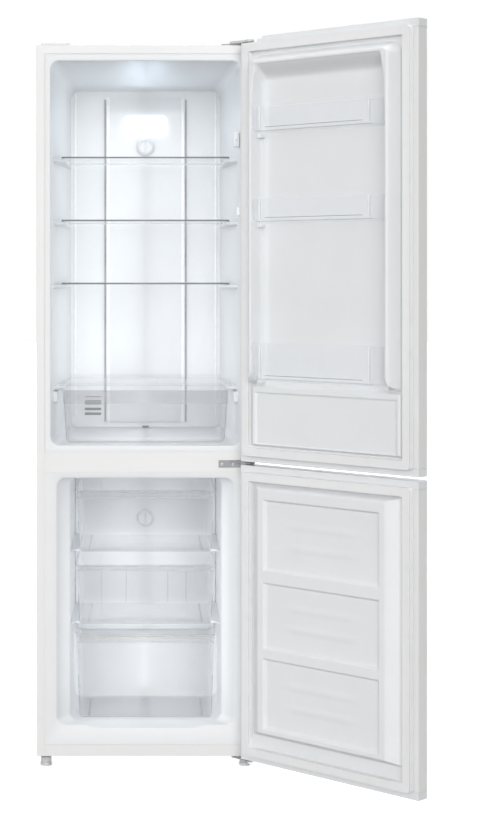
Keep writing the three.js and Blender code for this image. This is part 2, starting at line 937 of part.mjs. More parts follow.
function thermostatBox() {
  const front = ductFront + panelWall + shaftEnd + 0.5;
  const levels = [fridgeKnobLevel - thermostatHalf, fridgeKnobLevel + thermostatHalf];
  return block([-thermostatHalf, thermostatHalf], [front, fridgeDepth - seam], levels);
}

// A round knob on the y axis, its face towards the front and its shaft through the panel.
function knob(panelFront, level, shaftLength) {
  const back = panelFront - seam;
  return join([
    rod("y", [0, 0, level], knobRadius, back - knobDepth * 0.6, back, 36),
    rod("y", [0, 0, level], knobRadius * 0.86, back - knobDepth, back - 1, 36),
    rod("y", [0, 0, level], knobShaft, back - 1, panelFront + shaftLength),
  ]);
}

function evaporatorCover() {
  const side = freezerHalf - seam;
  const bottom = stepTop + seam;
  const top = freezerTop - seam;
  const shell = extrude(
    roundedOutline([-side, side], [bottom, top], cornerRadius),
    "y",
    coverFront,
    coverFront + coverRim,
  );
  const hollow = extrude(
    roundedOutline(
      [-side + panelWall, side - panelWall],
      [bottom + panelWall, top - panelWall],
      cornerRadius - panelWall,
    ),
    "y",
    coverFront + panelWall,
    coverFront + coverRim + 1,
  );
  const through = [coverFront - 1, coverFront + panelWall + 1];
  const slot = (x, z) =>
    block([x - grilleHalf, x + grilleHalf], through, [z - grilleWidth / 2, z + grilleWidth / 2]);
  const slots = [-grilleX, grilleX].flatMap((x) =>
    [0, 1, 2].flatMap((i) => [
      slot(x, top - grilleInset - grillePitch * i),
      slot(x, bottom + grilleInset + grillePitch * i),
    ]),
  );
  const shaftHole = rod(
    "y",
    [0, 0, freezerKnobLevel],
    knobShaft + boreClearance,
    ...through,
  );
  return cut(shell, [hollow, ...slots, shaftHole]);
}

function doorSwitch() {
  const wall = fridgeHalfAt(switchFront + switchDepth) - seam;
  const body = block(
    [wall - switchWidth, wall],
    [switchFront, switchFront + switchDepth],
    [switchLevel - switchHeight / 2, switchLevel + switchHeight / 2],
  );
  const bore = rod(
    "y",
    [plungerX, 0, switchLevel],
    plungerRadius + seam,
    switchFront - 1,
    switchFront + plungerIn + plungerTravel + plungerEnd,
  );
  return cut(body, [bore]);
}

const plungerX = fridgeHalfAt(switchFront + switchDepth) - seam - plungerFromWall;

function switchPlunger() {
  return rod("y", [plungerX, 0, switchLevel], plungerRadius, switchFront - plungerOut, switchFront + plungerIn);
}

// ---------- cooling parts ----------

function evaporator() {
  const back = freezerDepth - seam;
  const front = back - evaporatorDepth;
  const pitch = (2 * evaporatorHalf - finThickness) / (finCount - 1);
  const outline = [[-evaporatorHalf, back]];
  for (let i = 0; i < finCount; i++) {
    const x = -evaporatorHalf + i * pitch;
    outline.push([x, front], [x + finThickness, front]);
    if (i + 1 < finCount) outline.push([x + finThickness, back - finRoot], [x + pitch, back - finRoot]);
  }
  outline.push([evaporatorHalf, back]);
  return extrude(outline, "z", evaporatorBottom, evaporatorTop);
}

function defrostHeater() {
  const level = evaporatorBottom - seam - heaterRadius;
  const y = freezerDepth - evaporatorDepth / 2;
  const reach = evaporatorHalf - heaterInset;
  return rod("x", [0, y, level], heaterRadius, -reach, reach, 12);
}

const motorFront = freezerDepth - seam - fanMotorDepth;

function fanMotor() {
  const back = freezerDepth - seam;
  return join([
    rod("y", [0, 0, fanLevel], fanMotorRadius, motorFront, back, 24),
    rod("y", [0, 0, fanLevel], fanShaft, motorFront - fanThickness - shaftTip, motorFront + 1, 16),
  ]);
}

function evaporatorFan() {
  const back = motorFront - fanMotorGap;
  const front = back - fanThickness;
  const middle = (front + back) / 2;
  const root = hubRadius - 4;
  const blade = (index) => {
    const geometry = new THREE.BoxGeometry(bladeWidth, bladeThickness, fanRadius - root);
    geometry.translate(0, 0, (fanRadius + root) / 2);
    geometry.rotateZ(THREE.MathUtils.degToRad(bladeAngle));
    geometry.rotateY((index * 2 * Math.PI) / bladeCount);
    geometry.translate(0, middle, fanLevel);
    return solidOf(geometry);
  };
  const hub = rod("y", [0, 0, fanLevel], hubRadius, front, back, 24);
  const bore = rod("y", [0, 0, fanLevel], fanShaft + seam, front - 1, back + 1, 16);
  return cut(join([hub, ...Array.from({ length: bladeCount }, (_, i) => blade(i))]), [bore]);
}

function compressorBase() {
  const plate = block(
    [-innerHalf, innerHalf],
    [machineFront + baseFrontGap, cabinetDepth - baseBackGap],
    [baseLevel, baseLevel + basePlate],
  );
  const ears = [-1, 1].flatMap((side) =>
    [-1, 1].map((end) => {
      const x = side * rollerX + end * (rollerWidth / 2 + seam + earThickness / 2);
      return block(
        [x - earThickness / 2, x + earThickness / 2],
        [rollerY - earHalf, rollerY + earHalf],
        [rollerRadius - earDrop, baseLevel + basePlate / 2],
      );
    }),
  );
  const pins = [-1, 1].map((side) => {
    const reach = rollerWidth / 2 + seam + earThickness;
    const x = side * rollerX;
    return rod("x", [0, rollerY, rollerRadius], rollerPin, x - reach, x + reach, 16);
  });
  return join([plate, ...ears, ...pins]);
}

const compressorBottom = baseLevel + basePlate + grommetHeight;

function compressor() {
  const r = compressorRadius;
  const h = compressorHeight;
  const profile = [
    [0, 0],
    [r * 0.72, 0],
    [r * 0.93, h * 0.1],
    [r, h * 0.25],
    [r, h * 0.68],
    [r * 0.92, h * 0.85],
    [r * 0.7, h * 0.96],
    [r * 0.35, h],
    [0, h],
  ].map((p) => new THREE.Vector2(...p));
  const shell = new THREE.LatheGeometry(profile, 28);
  shell.rotateX(Math.PI / 2).translate(compressorX, compressorY, compressorBottom);
  const feet = block(
    [compressorX - compressorFootHalf, compressorX + compressorFootHalf],
    [compressorY - compressorFootSide, compressorY + compressorFootSide],
    [compressorBottom - 1, compressorBottom + compressorFootPlate],
  );
  const grommets = [-1, 1].flatMap((sx) =>
    [-1, 1].map((sy) =>
      rod(
        "z",
        [compressorX + sx * grommetX, compressorY + sy * grommetSide],
        grommetRadius,
        baseLevel + basePlate + seam,
        compressorBottom,
        16,
      ),
    ),
  );
  return join([solidOf(shell), feet, ...grommets]);
}

function dripTray() {
  const level = compressorBottom + compressorHeight + seam;
  return tub({
    x: [compressorX - dripTrayHalf, compressorX + dripTrayHalf],
    y: [compressorY - dripTraySide, compressorY + dripTraySide],
    z: [level, level + dripTrayDepth],
    taper: dripTrayTaper,
    wall: dripTrayWall,
    radius: dripTrayCorner,
  });
}

function compressorCover() {
  const back = cabinetDepth - seam;
  const plate = block(
    [-innerHalf, innerHalf],
    [back - linerWall, back],
    [baseLevel + basePlate + seam, machineTop],
  );
  const firstVent = baseLevel + basePlate + ventStart;
  const slots = [0, 1, 2, 3, 4].flatMap((row) =>
    [-1, 0, 1].map((column) => {
      const x = column * ventPitch + ventOffset;
      const z = firstVent + row * ventRise;
      return block([x - ventHalf, x + ventHalf], [back - 5, back + 1], [z - ventWidth / 2, z + ventWidth / 2]);
    }),
  );
  const hole = rod("y", [glandX, 0, glandLevel], glandRadius + seam, back - 5, back + 1, 24);
  return cut(plate, [...slots, hole]);
}

function cableGland() {
  const back = cabinetDepth - seam;
  return cut(
    join([
      rod("y", [glandX, 0, glandLevel], glandRadius, back - linerWall - glandReach, back + 1, 24),
      rod("y", [glandX, 0, glandLevel], glandRadius + glandLip, back + seam, back + glandLip, 24),
    ]),
    [rod("y", [glandX, 0, glandLevel], cordBore, back - 20, back + 20, 16)],
  );
}

function condenserCoil() {
  const path = new THREE.CurvePath();
  const bend = coilPitch / 2;
  for (let pass = 0; pass < coilPasses; pass++) {
    const y = coilFront + pass * coilPitch;
    const [from, to] = pass % 2 ? [coilTop, coilBottom] : [coilBottom, coilTop];
    path.add(new THREE.LineCurve3(new THREE.Vector3(coilX, y, from), new THREE.Vector3(coilX, y, to)));
    if (pass + 1 === coilPasses) continue;
    const sweep = pass % 2 ? -1 : 1;
    const corners = arc([y + bend, to], bend, 180, 180 - sweep * 180, 6);
    for (let i = 0; i + 1 < corners.length; i++) {
      const [start, end] = [corners[i], corners[i + 1]].map(([a, b]) => new THREE.Vector3(coilX, a, b));
      path.add(new THREE.LineCurve3(start, end));
    }
  }
  return tubeThrough(cornersOf(path), coilRadius, 6);
}

const cornersOf = (path) => [path.curves[0].v1, ...path.curves.map((line) => line.v2)];

// A tube in the plane x = constant, with one ring of points at each corner of its route.
function tubeThrough(corners, radius, sides) {
  const across = new THREE.Vector3(1, 0, 0);
  const loops = corners.map((corner, i) => {
    const before = corners[Math.max(i - 1, 0)];
    const after = corners[Math.min(i + 1, corners.length - 1)];
    const along = after.clone().sub(before).normalize();
    const normal = new THREE.Vector3().crossVectors(along, across).normalize();
    return arc([0, 0], radius, 0, 360 - 360 / sides, sides - 1).map(([a, b]) => {
      const point = corner.clone().addScaledVector(across, a).addScaledVector(normal, b);
      return point.toArray();
    });
  });
  return skin(loops);
}

// ---------- loose fittings ----------

function glassShelf(level) {
  const depths = [glassFront, glassFront + glassDepth];
  return extrude(roundedOutline([-glassHalf, glassHalf], depths, glassCorner, 3), "z", level, level + glassThickness);
}

function crisperCover() {
  const back = ductFront - crisperCoverBackGap;
  const top = crisperCoverLevel + glassThickness;
  return extrude(
    [
      [crisperFront, crisperCoverLevel],
      [back, crisperCoverLevel],
      [back, top + crisperLip],
      [back - crisperLipWall, top + crisperLip],
      [back - crisperLipWall, top],
      [crisperFront, top],
    ],
    "x",
    -crisperCoverHalf,
    crisperCoverHalf,
  );
}

function crisper() {
  return tub({
    x: [-crisperHalf, crisperHalf],
    y: [crisperFront, ductFront - crisperBackGap],
    z: [fridgeFloor + seam, crisperCoverLevel - seam - ledgeHeight - crisperGap],
    taper: crisperTaper,
    wall: trayWall,
    radius: crisperCorner,
  });
}

function freezerDrawer(name, bottom, top) {
  const depth = name === "bottom" ? lowDrawerDepth : drawerDepth;
  return tub({
    x: [-drawerHalf, drawerHalf],
    y: [drawerFront, drawerFront + depth],
    z: [bottom + (name === "bottom" ? seam : 0), top],
    taper: drawerTaper,
    wall: trayWall,
    radius: drawerCorner,
  });
}

function levellingFoot(side) {
  const lip = footRadius * 0.82;
  const profile = [
    [0, 0],
    [footRadius, 0],
    [footRadius, footHeight * 0.35],
    [lip, footHeight * 0.45],
    [lip, footHeight],
    [footStem, footHeight],
    [footStem, stemTop],
    [0, stemTop],
  ].map((p) => new THREE.Vector2(...p));
  const geometry = new THREE.LatheGeometry(profile, 24);
  return solidOf(geometry.rotateX(Math.PI / 2).translate(side * footX, footY, 0));
}

function rearRoller(side) {
  const x = side * rollerX;
  const at = [0, rollerY, rollerRadius];
  const wheel = rod("x", at, rollerRadius, x - rollerWidth / 2, x + rollerWidth / 2, 32);
  return cut(wheel, [rod("x", at, rollerPin + seam, x - rollerWidth, x + rollerWidth, 16)]);
}

// ---------- doors, modelled closed ----------

function doorOutline(inset) {
  const side = half - inset;
  const radius = doorEdgeRadius - inset;
  const front = doorOuter + inset;
  return [
    [-side, doorInner - inset],
    ...arc([-side + radius, front + radius], radius, 180, 270, 5),
    ...arc([side - radius, front + radius], radius, 270, 360, 5),
    [side, doorInner - inset],
  ];
}

function doorSkin(bottom, top) {
  const level = [bottom + capHeight + seam, top - capHeight - seam];
  const lip = half - skinReturn;
  const outline = [
    ...doorOutline(0),
    [lip, doorInner],
    [lip, doorInner - sheet],
    ...doorOutline(sheet).reverse(),
    [-lip, doorInner - sheet],
    [-lip, doorInner],
  ];
  return extrude(outline, "z", ...level);
}

function hingeNotch() {
  const low = fridgeDoorTop - notchDepth;
  const high = fridgeDoorTop + 1;
  const wallBack = doorOuter + notchWall;
  return join([
    block([half - notchCorner, half + 1], [doorOuter - 1, doorInner + 1], [low, high]),
    block([half - notchLength, half + 1], [wallBack, doorInner + 1], [low, high]),
  ]);
}

function doorCap(z0, z1, { boreFrom, notch = false }) {
  const plate = extrude(doorOutline(0), "z", z0, z1);
  const up = boreFrom === "top";
  const mouth = notch ? z1 - notchDepth : z1;
  const bossLevels = up ? [mouth - pinReach - bossFloor, z0 + 1] : [z1 - 1, z0 + pinReach + bossFloor];
  const deepEnough = bossLevels[1] > bossLevels[0];
  const parts = deepEnough ? [plate, rod("z", [axisX, axisY], bossRadius, ...bossLevels)] : [plate];
  const reach = pinReach + boreEnd;
  const boreLevels = up ? [mouth - reach, z1 + 1] : [z0 - 1, z0 + reach];
  const bore = rod("z", [axisX, axisY], pinRadius + boreClearance, ...boreLevels);
  return cut(join(parts), notch ? [hingeNotch(), bore] : [bore]);
}

function doorGasket(bottom, top) {
  const side = half - gasketInset;
  const ring = (inset) =>
    extrude(
      roundedOutline(
        [-side + inset, side - inset],
        [bottom + gasketInset + inset, top - gasketInset - inset],
        gasketCorner,
        2,
      ),
      "y",
      doorInner + seam - (inset ? 1 : 0),
      -gasketGap + (inset ? 1 : 0),
    );
  return cut(ring(0), [ring(gasketWidth)]);
}

const ramp = (value, from, to) => THREE.MathUtils.clamp((value - from) / (to - from), 0, 1);

function fridgeRelief(x, z) {
  const fromSide = half - Math.abs(x);
  const fromTop = dykeCeiling - z;
  const rise = ramp(Math.min(fromSide, fromTop), dykeBase, dykeOuter);
  const fall = Math.min(ramp(fromSide, dykeInner, dykeFoot), ramp(fromTop, dykeInner, dykeTopFoot));
  const wall = Math.min(rise, 1 - fall);
  const lowered = ramp(z, blockTop, blockTop + dykeLanding);
  const edge = Math.min(fromSide, z - fridgeDoorBottom);
  const blockEdge = ramp(edge, dykeBase, dykeBase + blockRun) * (1 - ramp(z, blockTop, blockTop + blockTopRun));
  const panelX = ramp(fromSide, blockPanelInset, blockPanelInset + blockPanelRun);
  const panelZ = Math.min(
    ramp(z, blockPanelBottom, blockPanelBottom + blockPanelRun),
    1 - ramp(z, blockPanelTop - blockPanelRun, blockPanelTop),
  );
  const lowerBlock = blockEdge * blockHeight - blockPanelDepth * Math.min(panelX, panelZ);
  return z >= blockTop ? Math.max(wall * dykeHeight * lowered, lowerBlock, 0) : Math.max(lowerBlock, 0);
}

function freezerRelief(x, z) {
  const across = ramp(half - Math.abs(x), dykeBase, dykeBase + plugRun);
  const up = Math.min(
    ramp(z, plugBottom, plugBottom + plugEndRun),
    1 - ramp(z, plugTop - plugEndRun, plugTop),
  );
  const sink = Math.max(
    ...panelLevels.map(([low, high]) =>
      Math.min(
        1 - ramp(Math.abs(x), panelHalf - panelEdge, panelHalf),
        ramp(z, low, low + panelEdge),
        1 - ramp(z, high - panelEdge, high),
      ),
    ),
  );
  return Math.min(across, up) * plugHeight - sink * panelDepth;
}

const mirrored = (insets) => [...insets.map((u) => u - half), ...insets.map((u) => half - u).reverse()];

const fridgeGrid = {
  xs: mirrored([
    skinReturn + seam,
    dykeBase,
    dykeBase + blockRun,
    blockPanelInset,
    blockPanelInset + blockPanelRun,
    dykeOuter,
    dykeInner,
    dykeFoot,
  ]),
  zs: [
    fridgeDoorBottom + capHeight + seam,
    fridgeDoorBottom + dykeBase,
    blockPanelBottom,
    blockPanelBottom + blockPanelRun,
    blockPanelTop - blockPanelRun,
    blockPanelTop,
    blockTop,
    blockTop + blockTopRun,
    blockTop + dykeLanding,
    dykeCeiling - dykeTopFoot,
    dykeCeiling - dykeInner,
    dykeCeiling - dykeOuter,
    dykeCeiling - dykeBase,
    fridgeDoorTop - capHeight - seam,
  ],
  height: fridgeRelief,
};

const freezerGrid = {
  xs: mirrored([
    skinReturn + seam,
    dykeBase,
    dykeBase + plugRun,
    half - panelHalf,
    half - panelHalf + panelEdge,
  ]),
  zs: [
    freezerDoorBottom + capHeight + seam,
    plugBottom,
    plugBottom + plugEndRun,
    ...panelLevels.flatMap(([low, high]) => [low, low + panelEdge, high - panelEdge, high]),
    plugTop - plugEndRun,
    plugTop,
    freezerDoorTop - capHeight - seam,
  ],
  height: freezerRelief,
};

// The back of a moulded sheet lies a wall behind the lowest front point near by.
function behind(height, drop) {
  const reach = 1.5;
  const offsets = [-reach, 0, reach];
  return (x, z) => {
    const near = offsets.flatMap((dx) => offsets.map((dz) => height(x + dx, z + dz)));
    return doorInner + Math.min(...near) - drop;
  };
}

function doorLiner({ xs, zs, height }, lugLevels = []) {
  const sheetSolid = relief(xs, zs, (x, z) => doorInner + height(x, z), behind(height, doorLinerWall));
  const lugs = lugLevels.flatMap((level) =>
    [-1, 1].map((side) => {
      const wall = side * (half - dykeFoot);
      const free = side * (half - dykeFoot - lugReach);
      const span = [Math.min(wall, free), Math.max(wall, free)];
      return block(span, [doorInner - 1, doorInner + lugDepth], [level - lugHeight, level - seam]);
    }),
  );
  return join([sheetSolid, ...lugs]);
}

function doorFoam({ xs, zs, height }, bottom, top, bossLevels) {
  const wide = [-half + sheet, ...xs.slice(1, -1), half - sheet];
  const level = [bottom + capHeight + seam, top - capHeight - seam];
  const long = [level[0], ...zs.slice(1, -1), level[1]];
  const back = doorOuter + sheet + seam;
  const filled = relief(wide, long, behind(height, doorLinerWall + seam), () => back);
  const bounds = extrude(doorOutline(sheet + seam), "z", ...level);
  const proud = dykeHeight + 1;
  const front = block([-half, half], [doorInner - sheet - seam, proud], [bottom, top]);
  const reach = half - skinReturn - seam;
  const lip = cut(front, [block([-reach, reach], [doorOuter, proud + 1], [bottom - 1, top + 1])]);
  const wideBounds = join([
    bounds,
    block([-reach, reach], [doorInner - doorThickness / 2, doorInner + dykeHeight], level),
  ]);
  const pockets = bossLevels.map((levels) => rod("z", [axisX, axisY], bossRadius + seam, ...levels));
  return cut(filled.intersect(wideBounds), [lip, ...pockets]);
}

function doorBin(bottom, top) {
  const side = half - dykeFoot - binGap;
  return tub({
    x: [-side, side],
    y: [doorInner + binBack, doorInner + binReach],
    z: [bottom, top],
    taper: binTaper,
    wall: trayWall,
    radius: binCorner,
  });
}

// ---------- assembly ----------

const refrigerator = new THREE.Group();
const cabinet = new THREE.Group();
refrigerator.add(cabinet);

function addPiece(parent, name, solid, look) {
  const mesh = new THREE.Mesh(geometryOf(solid), look);
  mesh.name = name;
  parent.add(mesh);
}

// A group whose turn is the hinge and whose content is placed as if the door were closed.
function doorGroup() {
  const pivot = new THREE.Group();
  pivot.position.set(axisX, axisY, 0);
  pivot.rotation.z = THREE.MathUtils.degToRad(openAngle);
  const leaf = new THREE.Group();
  leaf.position.set(-axisX, -axisY, 0);
  pivot.add(leaf);
  cabinet.add(pivot);
  return leaf;
}

addPiece(cabinet, "outer_casing", outerCasing(), whiteSteel);
addPiece(cabinet, "rear_panel", rearPanel(), zincSteel);
addPiece(cabinet, "base_pan", basePan(), zincSteel);
addPiece(cabinet, "centre_rail", centreRail(), whiteSteel);
addPiece(cabinet, "bottom_rail", bottomRail(), whiteSteel);
addPiece(cabinet, "cabinet_foam", cabinetFoam(), foam);
addPiece(cabinet, "fridge_liner", fridgeLiner(), whitePlastic);
addPiece(cabinet, "freezer_liner", freezerLiner(), whitePlastic);
addPiece(cabinet, "spare_hinge_cover", spareHingeCover(), whitePlastic);
addPiece(cabinet, "top_hinge_bracket", topHingeBracket(), greySteel);
addPiece(cabinet, "mid_hinge_bracket", midHingeBracket(), greySteel);
addPiece(cabinet, "mid_hinge_screw_left", midHingeScrew(0), greySteel);
addPiece(cabinet, "mid_hinge_screw_right", midHingeScrew(1), greySteel);
addPiece(cabinet, "bottom_hinge_bracket", bottomHingeBracket(), greySteel);
addPiece(cabinet, "air_duct_cover", airDuctCover(), whitePlastic);
addPiece(cabinet, "lamp_cover", lampCover(), lampPlastic);
addPiece(cabinet, "lamp_board", lampBoard(), darkPlastic);
addPiece(cabinet, "thermostat_box", thermostatBox(), darkPlastic);
addPiece(cabinet, "fridge_knob", knob(ductFront, fridgeKnobLevel, panelWall + shaftEnd), whitePlastic);
addPiece(cabinet, "evaporator_cover", evaporatorCover(), whitePlastic);
addPiece(cabinet, "freezer_knob", knob(coverFront, freezerKnobLevel, coverRim), whitePlastic);
addPiece(cabinet, "evaporator", evaporator(), aluminium);
addPiece(cabinet, "defrost_heater", defrostHeater(), aluminium);
addPiece(cabinet, "fan_motor", fanMotor(), darkPlastic);
addPiece(cabinet, "evaporator_fan", evaporatorFan(), darkPlastic);
addPiece(cabinet, "door_switch", doorSwitch(), whitePlastic);
addPiece(cabinet, "switch_plunger", switchPlunger(), whitePlastic);
addPiece(cabinet, "compressor_base", compressorBase(), zincSteel);
addPiece(cabinet, "compressor", compressor(), blackPaint);
addPiece(cabinet, "drip_tray", dripTray(), darkPlastic);
addPiece(cabinet, "compressor_cover", compressorCover(), zincSteel);
addPiece(cabinet, "cable_gland", cableGland(), darkPlastic);
addPiece(cabinet, "condenser_coil", condenserCoil(), copper);
for (const [name, level] of shelfLevels) addPiece(cabinet, `glass_shelf_${name}`, glassShelf(level), shelfGlass);
addPiece(cabinet, "crisper_cover", crisperCover(), clearPlastic);
addPiece(cabinet, "crisper", crisper(), clearPlastic);
for (const [name, low, high] of drawerLevels) {
  addPiece(cabinet, `freezer_drawer_${name}`, freezerDrawer(name, low, high), clearPlastic);
}
for (const [name, side] of [["left", -1], ["right", 1]]) {
  addPiece(cabinet, `levelling_foot_${name}`, levellingFoot(side), greyPlastic);
  addPiece(cabinet, `rear_roller_${name}`, rearRoller(side), darkPlastic);
}

const fridgeDoor = doorGroup();
const fridgeCapLow = [fridgeDoorBottom, fridgeDoorBottom + capHeight];
const fridgeCapHigh = [fridgeDoorTop - capHeight, fridgeDoorTop];
const topBoss = [fridgeDoorTop - notchDepth - pinReach - bossFloor - seam, fridgeDoorTop];
addPiece(fridgeDoor, "fridge_door_skin", doorSkin(fridgeDoorBottom, fridgeDoorTop), whiteSteel);
addPiece(fridgeDoor, "fridge_door_cap_bottom", doorCap(...fridgeCapLow, { boreFrom: "bottom" }), whitePlastic);
addPiece(fridgeDoor, "fridge_door_cap_top", doorCap(...fridgeCapHigh, { boreFrom: "top", notch: true }), whitePlastic);
addPiece(fridgeDoor, "fridge_door_foam", doorFoam(fridgeGrid, fridgeDoorBottom, fridgeDoorTop, [topBoss]), foam);
addPiece(fridgeDoor, "fridge_door_gasket", doorGasket(fridgeDoorBottom, fridgeDoorTop), gasketRubber);
const binFloors = binLevels.map(([, low]) => low);
addPiece(fridgeDoor, "fridge_door_liner", doorLiner(fridgeGrid, binFloors), whitePlastic);
for (const [name, low, high] of binLevels) addPiece(fridgeDoor, `door_bin_${name}`, doorBin(low, high), clearPlastic);

const freezerDoor = doorGroup();
const freezerCapLow = [freezerDoorBottom, freezerDoorBottom + capHeight];
const freezerCapHigh = [freezerDoorTop - capHeight, freezerDoorTop];
addPiece(freezerDoor, "freezer_door_skin", doorSkin(freezerDoorBottom, freezerDoorTop), whiteSteel);
addPiece(freezerDoor, "freezer_door_cap_bottom", doorCap(...freezerCapLow, { boreFrom: "bottom" }), whitePlastic);
addPiece(freezerDoor, "freezer_door_cap_top", doorCap(...freezerCapHigh, { boreFrom: "top" }), whitePlastic);
addPiece(freezerDoor, "freezer_door_foam", doorFoam(freezerGrid, freezerDoorBottom, freezerDoorTop, []), foam);
addPiece(freezerDoor, "freezer_door_gasket", doorGasket(freezerDoorBottom, freezerDoorTop), gasketRubber);
addPiece(freezerDoor, "freezer_door_liner", doorLiner(freezerGrid), whitePlastic);

// The origin is the middle of the bounding box on the floor, with the doors open.
refrigerator.updateMatrixWorld(true);
const bounds = new THREE.Box3().setFromObject(refrigerator, true);
const centre = bounds.getCenter(new THREE.Vector3());
cabinet.position.set(-centre.x, -centre.y, 0);

export default refrigerator;
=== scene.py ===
import math

import bmesh
import bpy
from mathutils import Matrix, Vector


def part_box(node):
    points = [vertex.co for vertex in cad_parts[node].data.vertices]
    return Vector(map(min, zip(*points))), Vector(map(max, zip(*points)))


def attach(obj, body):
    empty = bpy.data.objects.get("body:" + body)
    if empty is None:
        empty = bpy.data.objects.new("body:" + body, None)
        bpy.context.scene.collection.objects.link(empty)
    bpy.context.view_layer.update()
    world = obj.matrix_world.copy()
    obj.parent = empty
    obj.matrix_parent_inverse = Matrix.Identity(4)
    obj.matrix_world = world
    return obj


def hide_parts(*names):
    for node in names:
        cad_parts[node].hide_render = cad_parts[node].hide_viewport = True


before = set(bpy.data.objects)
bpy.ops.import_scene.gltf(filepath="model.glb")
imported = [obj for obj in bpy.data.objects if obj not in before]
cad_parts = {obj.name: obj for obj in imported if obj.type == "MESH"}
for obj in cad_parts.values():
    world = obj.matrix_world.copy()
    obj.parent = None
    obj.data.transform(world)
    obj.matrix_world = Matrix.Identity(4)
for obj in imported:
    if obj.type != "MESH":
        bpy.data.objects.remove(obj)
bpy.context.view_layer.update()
print("frame loaded:", len(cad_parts), "nodes")

# Everything is drawn in millimetres from the middle of the cabinet's front plane at floor level,
# with both doors closed, and is put into the part's frame when its mesh is made.
mm = 0.001
casingLow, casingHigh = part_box("outer_casing")
middle = Vector(((casingLow.x + casingHigh.x) / 2, casingLow.y, 0))
cabinet = {
    "half": (casingHigh.x - casingLow.x) / 2 / mm,
    "depth": (casingHigh.y - casingLow.y) / mm,
    "bottom": casingLow.z / mm,
    "top": casingHigh.z / mm,
    "seam": 0.3,
}
half = cabinet["half"]
seam = cabinet["seam"]
hinge = {"x": half - 13, "y": -33, "openAngle": 135}
doorFace = {"inner": -14, "outer": -59, "edgeRadius": 18, "capHeight": 19}


def reach(node):
    # a closed door's node isn't measured this way, because its box is the open one
    low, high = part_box(node)
    return (low - middle) / mm, (high - middle) / mm


def spans(low, high, axes):
    return [(getattr(low, axis), getattr(high, axis)) for axis in axes]


def centreOf(low, high, axes="xz"):
    return tuple((start + end) / 2 for start, end in spans(low, high, axes))


def around(place, reachOut):
    return place - reachOut, place + reachOut


def drawnIn(span, inset):
    return span[0] + inset, span[1] - inset


def onSide(side, *places):
    # a span on the left (-1) or the right (1) of the middle
    return sorted(side * place for place in places)


# Materials: each is a node tree, written as sums and products of Shade values


class Shade:
    # one output of a node; sums written on it add Math nodes
    def __init__(self, tree, socket=None):
        self.tree = tree
        self.socket = socket

    def make(self, kind, settings=None, inputs=None, out=0):
        made = self.tree.nodes.new(kind)
        for name, value in (settings or {}).items():
            setattr(made, name, value)
        for name, value in (inputs or {}).items():
            if isinstance(value, Shade):
                self.tree.links.new(value.socket, made.inputs[name])
            else:
                made.inputs[name].default_value = value
        return Shade(self.tree, made.outputs[out])

    def maths(self, operation, first, second=0.0):
        return self.make("ShaderNodeMath", {"operation": operation}, {0: first, 1: second})

    def __add__(self, other):
        return self.maths("ADD", self, other)

    def __radd__(self, other):
        return self.maths("ADD", other, self)

    def __rsub__(self, other):
        return self.maths("SUBTRACT", other, self)

    def __mul__(self, other):
        return self.maths("MULTIPLY", self, other)

    def __pow__(self, other):
        return self.maths("POWER", self, other)

    def between(self, low, high):
        # 0 at low, 1 at high, level outside them
        return self.make(
            "ShaderNodeMapRange",
            {"interpolation_type": "SMOOTHSTEP"},
            {"Value": self, "From Min": low, "From Max": high},
        )

    def blend(self, first, second):
        # a colour from first to second as this value goes from 0 to 1
        return self.make("ShaderNodeMix", {"data_type": "RGBA"}, {0: self, 6: first, 7: second}, out=2)


def newFinish(name, fixed):
    # a material with its shader; fixed holds the sockets that are the same all over
    made = bpy.data.materials.new(name)
    made.use_nodes = True
    tree = made.node_tree
    shader = tree.nodes["Principled BSDF"]
    for socket, value in fixed.items():
        shader.inputs[socket].default_value = value
    place = Shade(tree).make("ShaderNodeTexCoord", out=3)
    return made, shader, place


def grain(place, scale, detail=2.0, rough=0.5):
    return place.make(
        "ShaderNodeTexNoise",
        inputs={"Vector": place, "Scale": scale, "Detail": detail, "Roughness": rough},
    )


def feed(shader, **wires):
    for name, wire in wires.items():
        wire.tree.links.new(wire.socket, shader.inputs[name.replace("_", " ")])


def bump(height, strength, distance):
    return height.make(
        "ShaderNodeBump", inputs={"Height": height, "Strength": strength, "Distance": distance}
    )


def colour(red, green, blue):
    return (red, green, blue, 1)


def tinted(base, *shares):
    # a colour with each of its parts scaled by a share
    return colour(*(part * share for part, share in zip(base, shares or (1, 1, 1))))


# the base colours of the pale parts, linear
paint = {
    "steel": (0.775, 0.775, 0.77),
    "plastic": (0.775, 0.79, 0.805),
    "gasket": (0.81, 0.81, 0.815),
    "clear": (0.80, 0.82, 0.85),
}


def paintedSteel():
    look = {"orangePeel": 420, "smudge": 6.5, "roughness": 0.33}
    fixed = {"IOR": 1.5, "Coat Weight": 0.1, "Coat Roughness": 0.16}
    made, shader, place = newFinish("paintedSteel", fixed)
    peel = grain(place, look["orangePeel"], 3)
    smudge = grain(place, look["smudge"], 4)
    fine = grain(place, 60, 3)
    base = paint["steel"]
    tone = (smudge * 0.6 + fine * 0.4).between(0.3, 0.7)
    shade = tone.blend(tinted(base, 0.985, 0.985, 0.985), tinted(base))
    feed(
        shader,
        Base_Color=shade,
        Roughness=look["roughness"] + smudge.between(0.35, 0.75) * 0.1 + fine * 0.04,
        Normal=bump(peel, 0.05, 0.0004),
    )
    return made


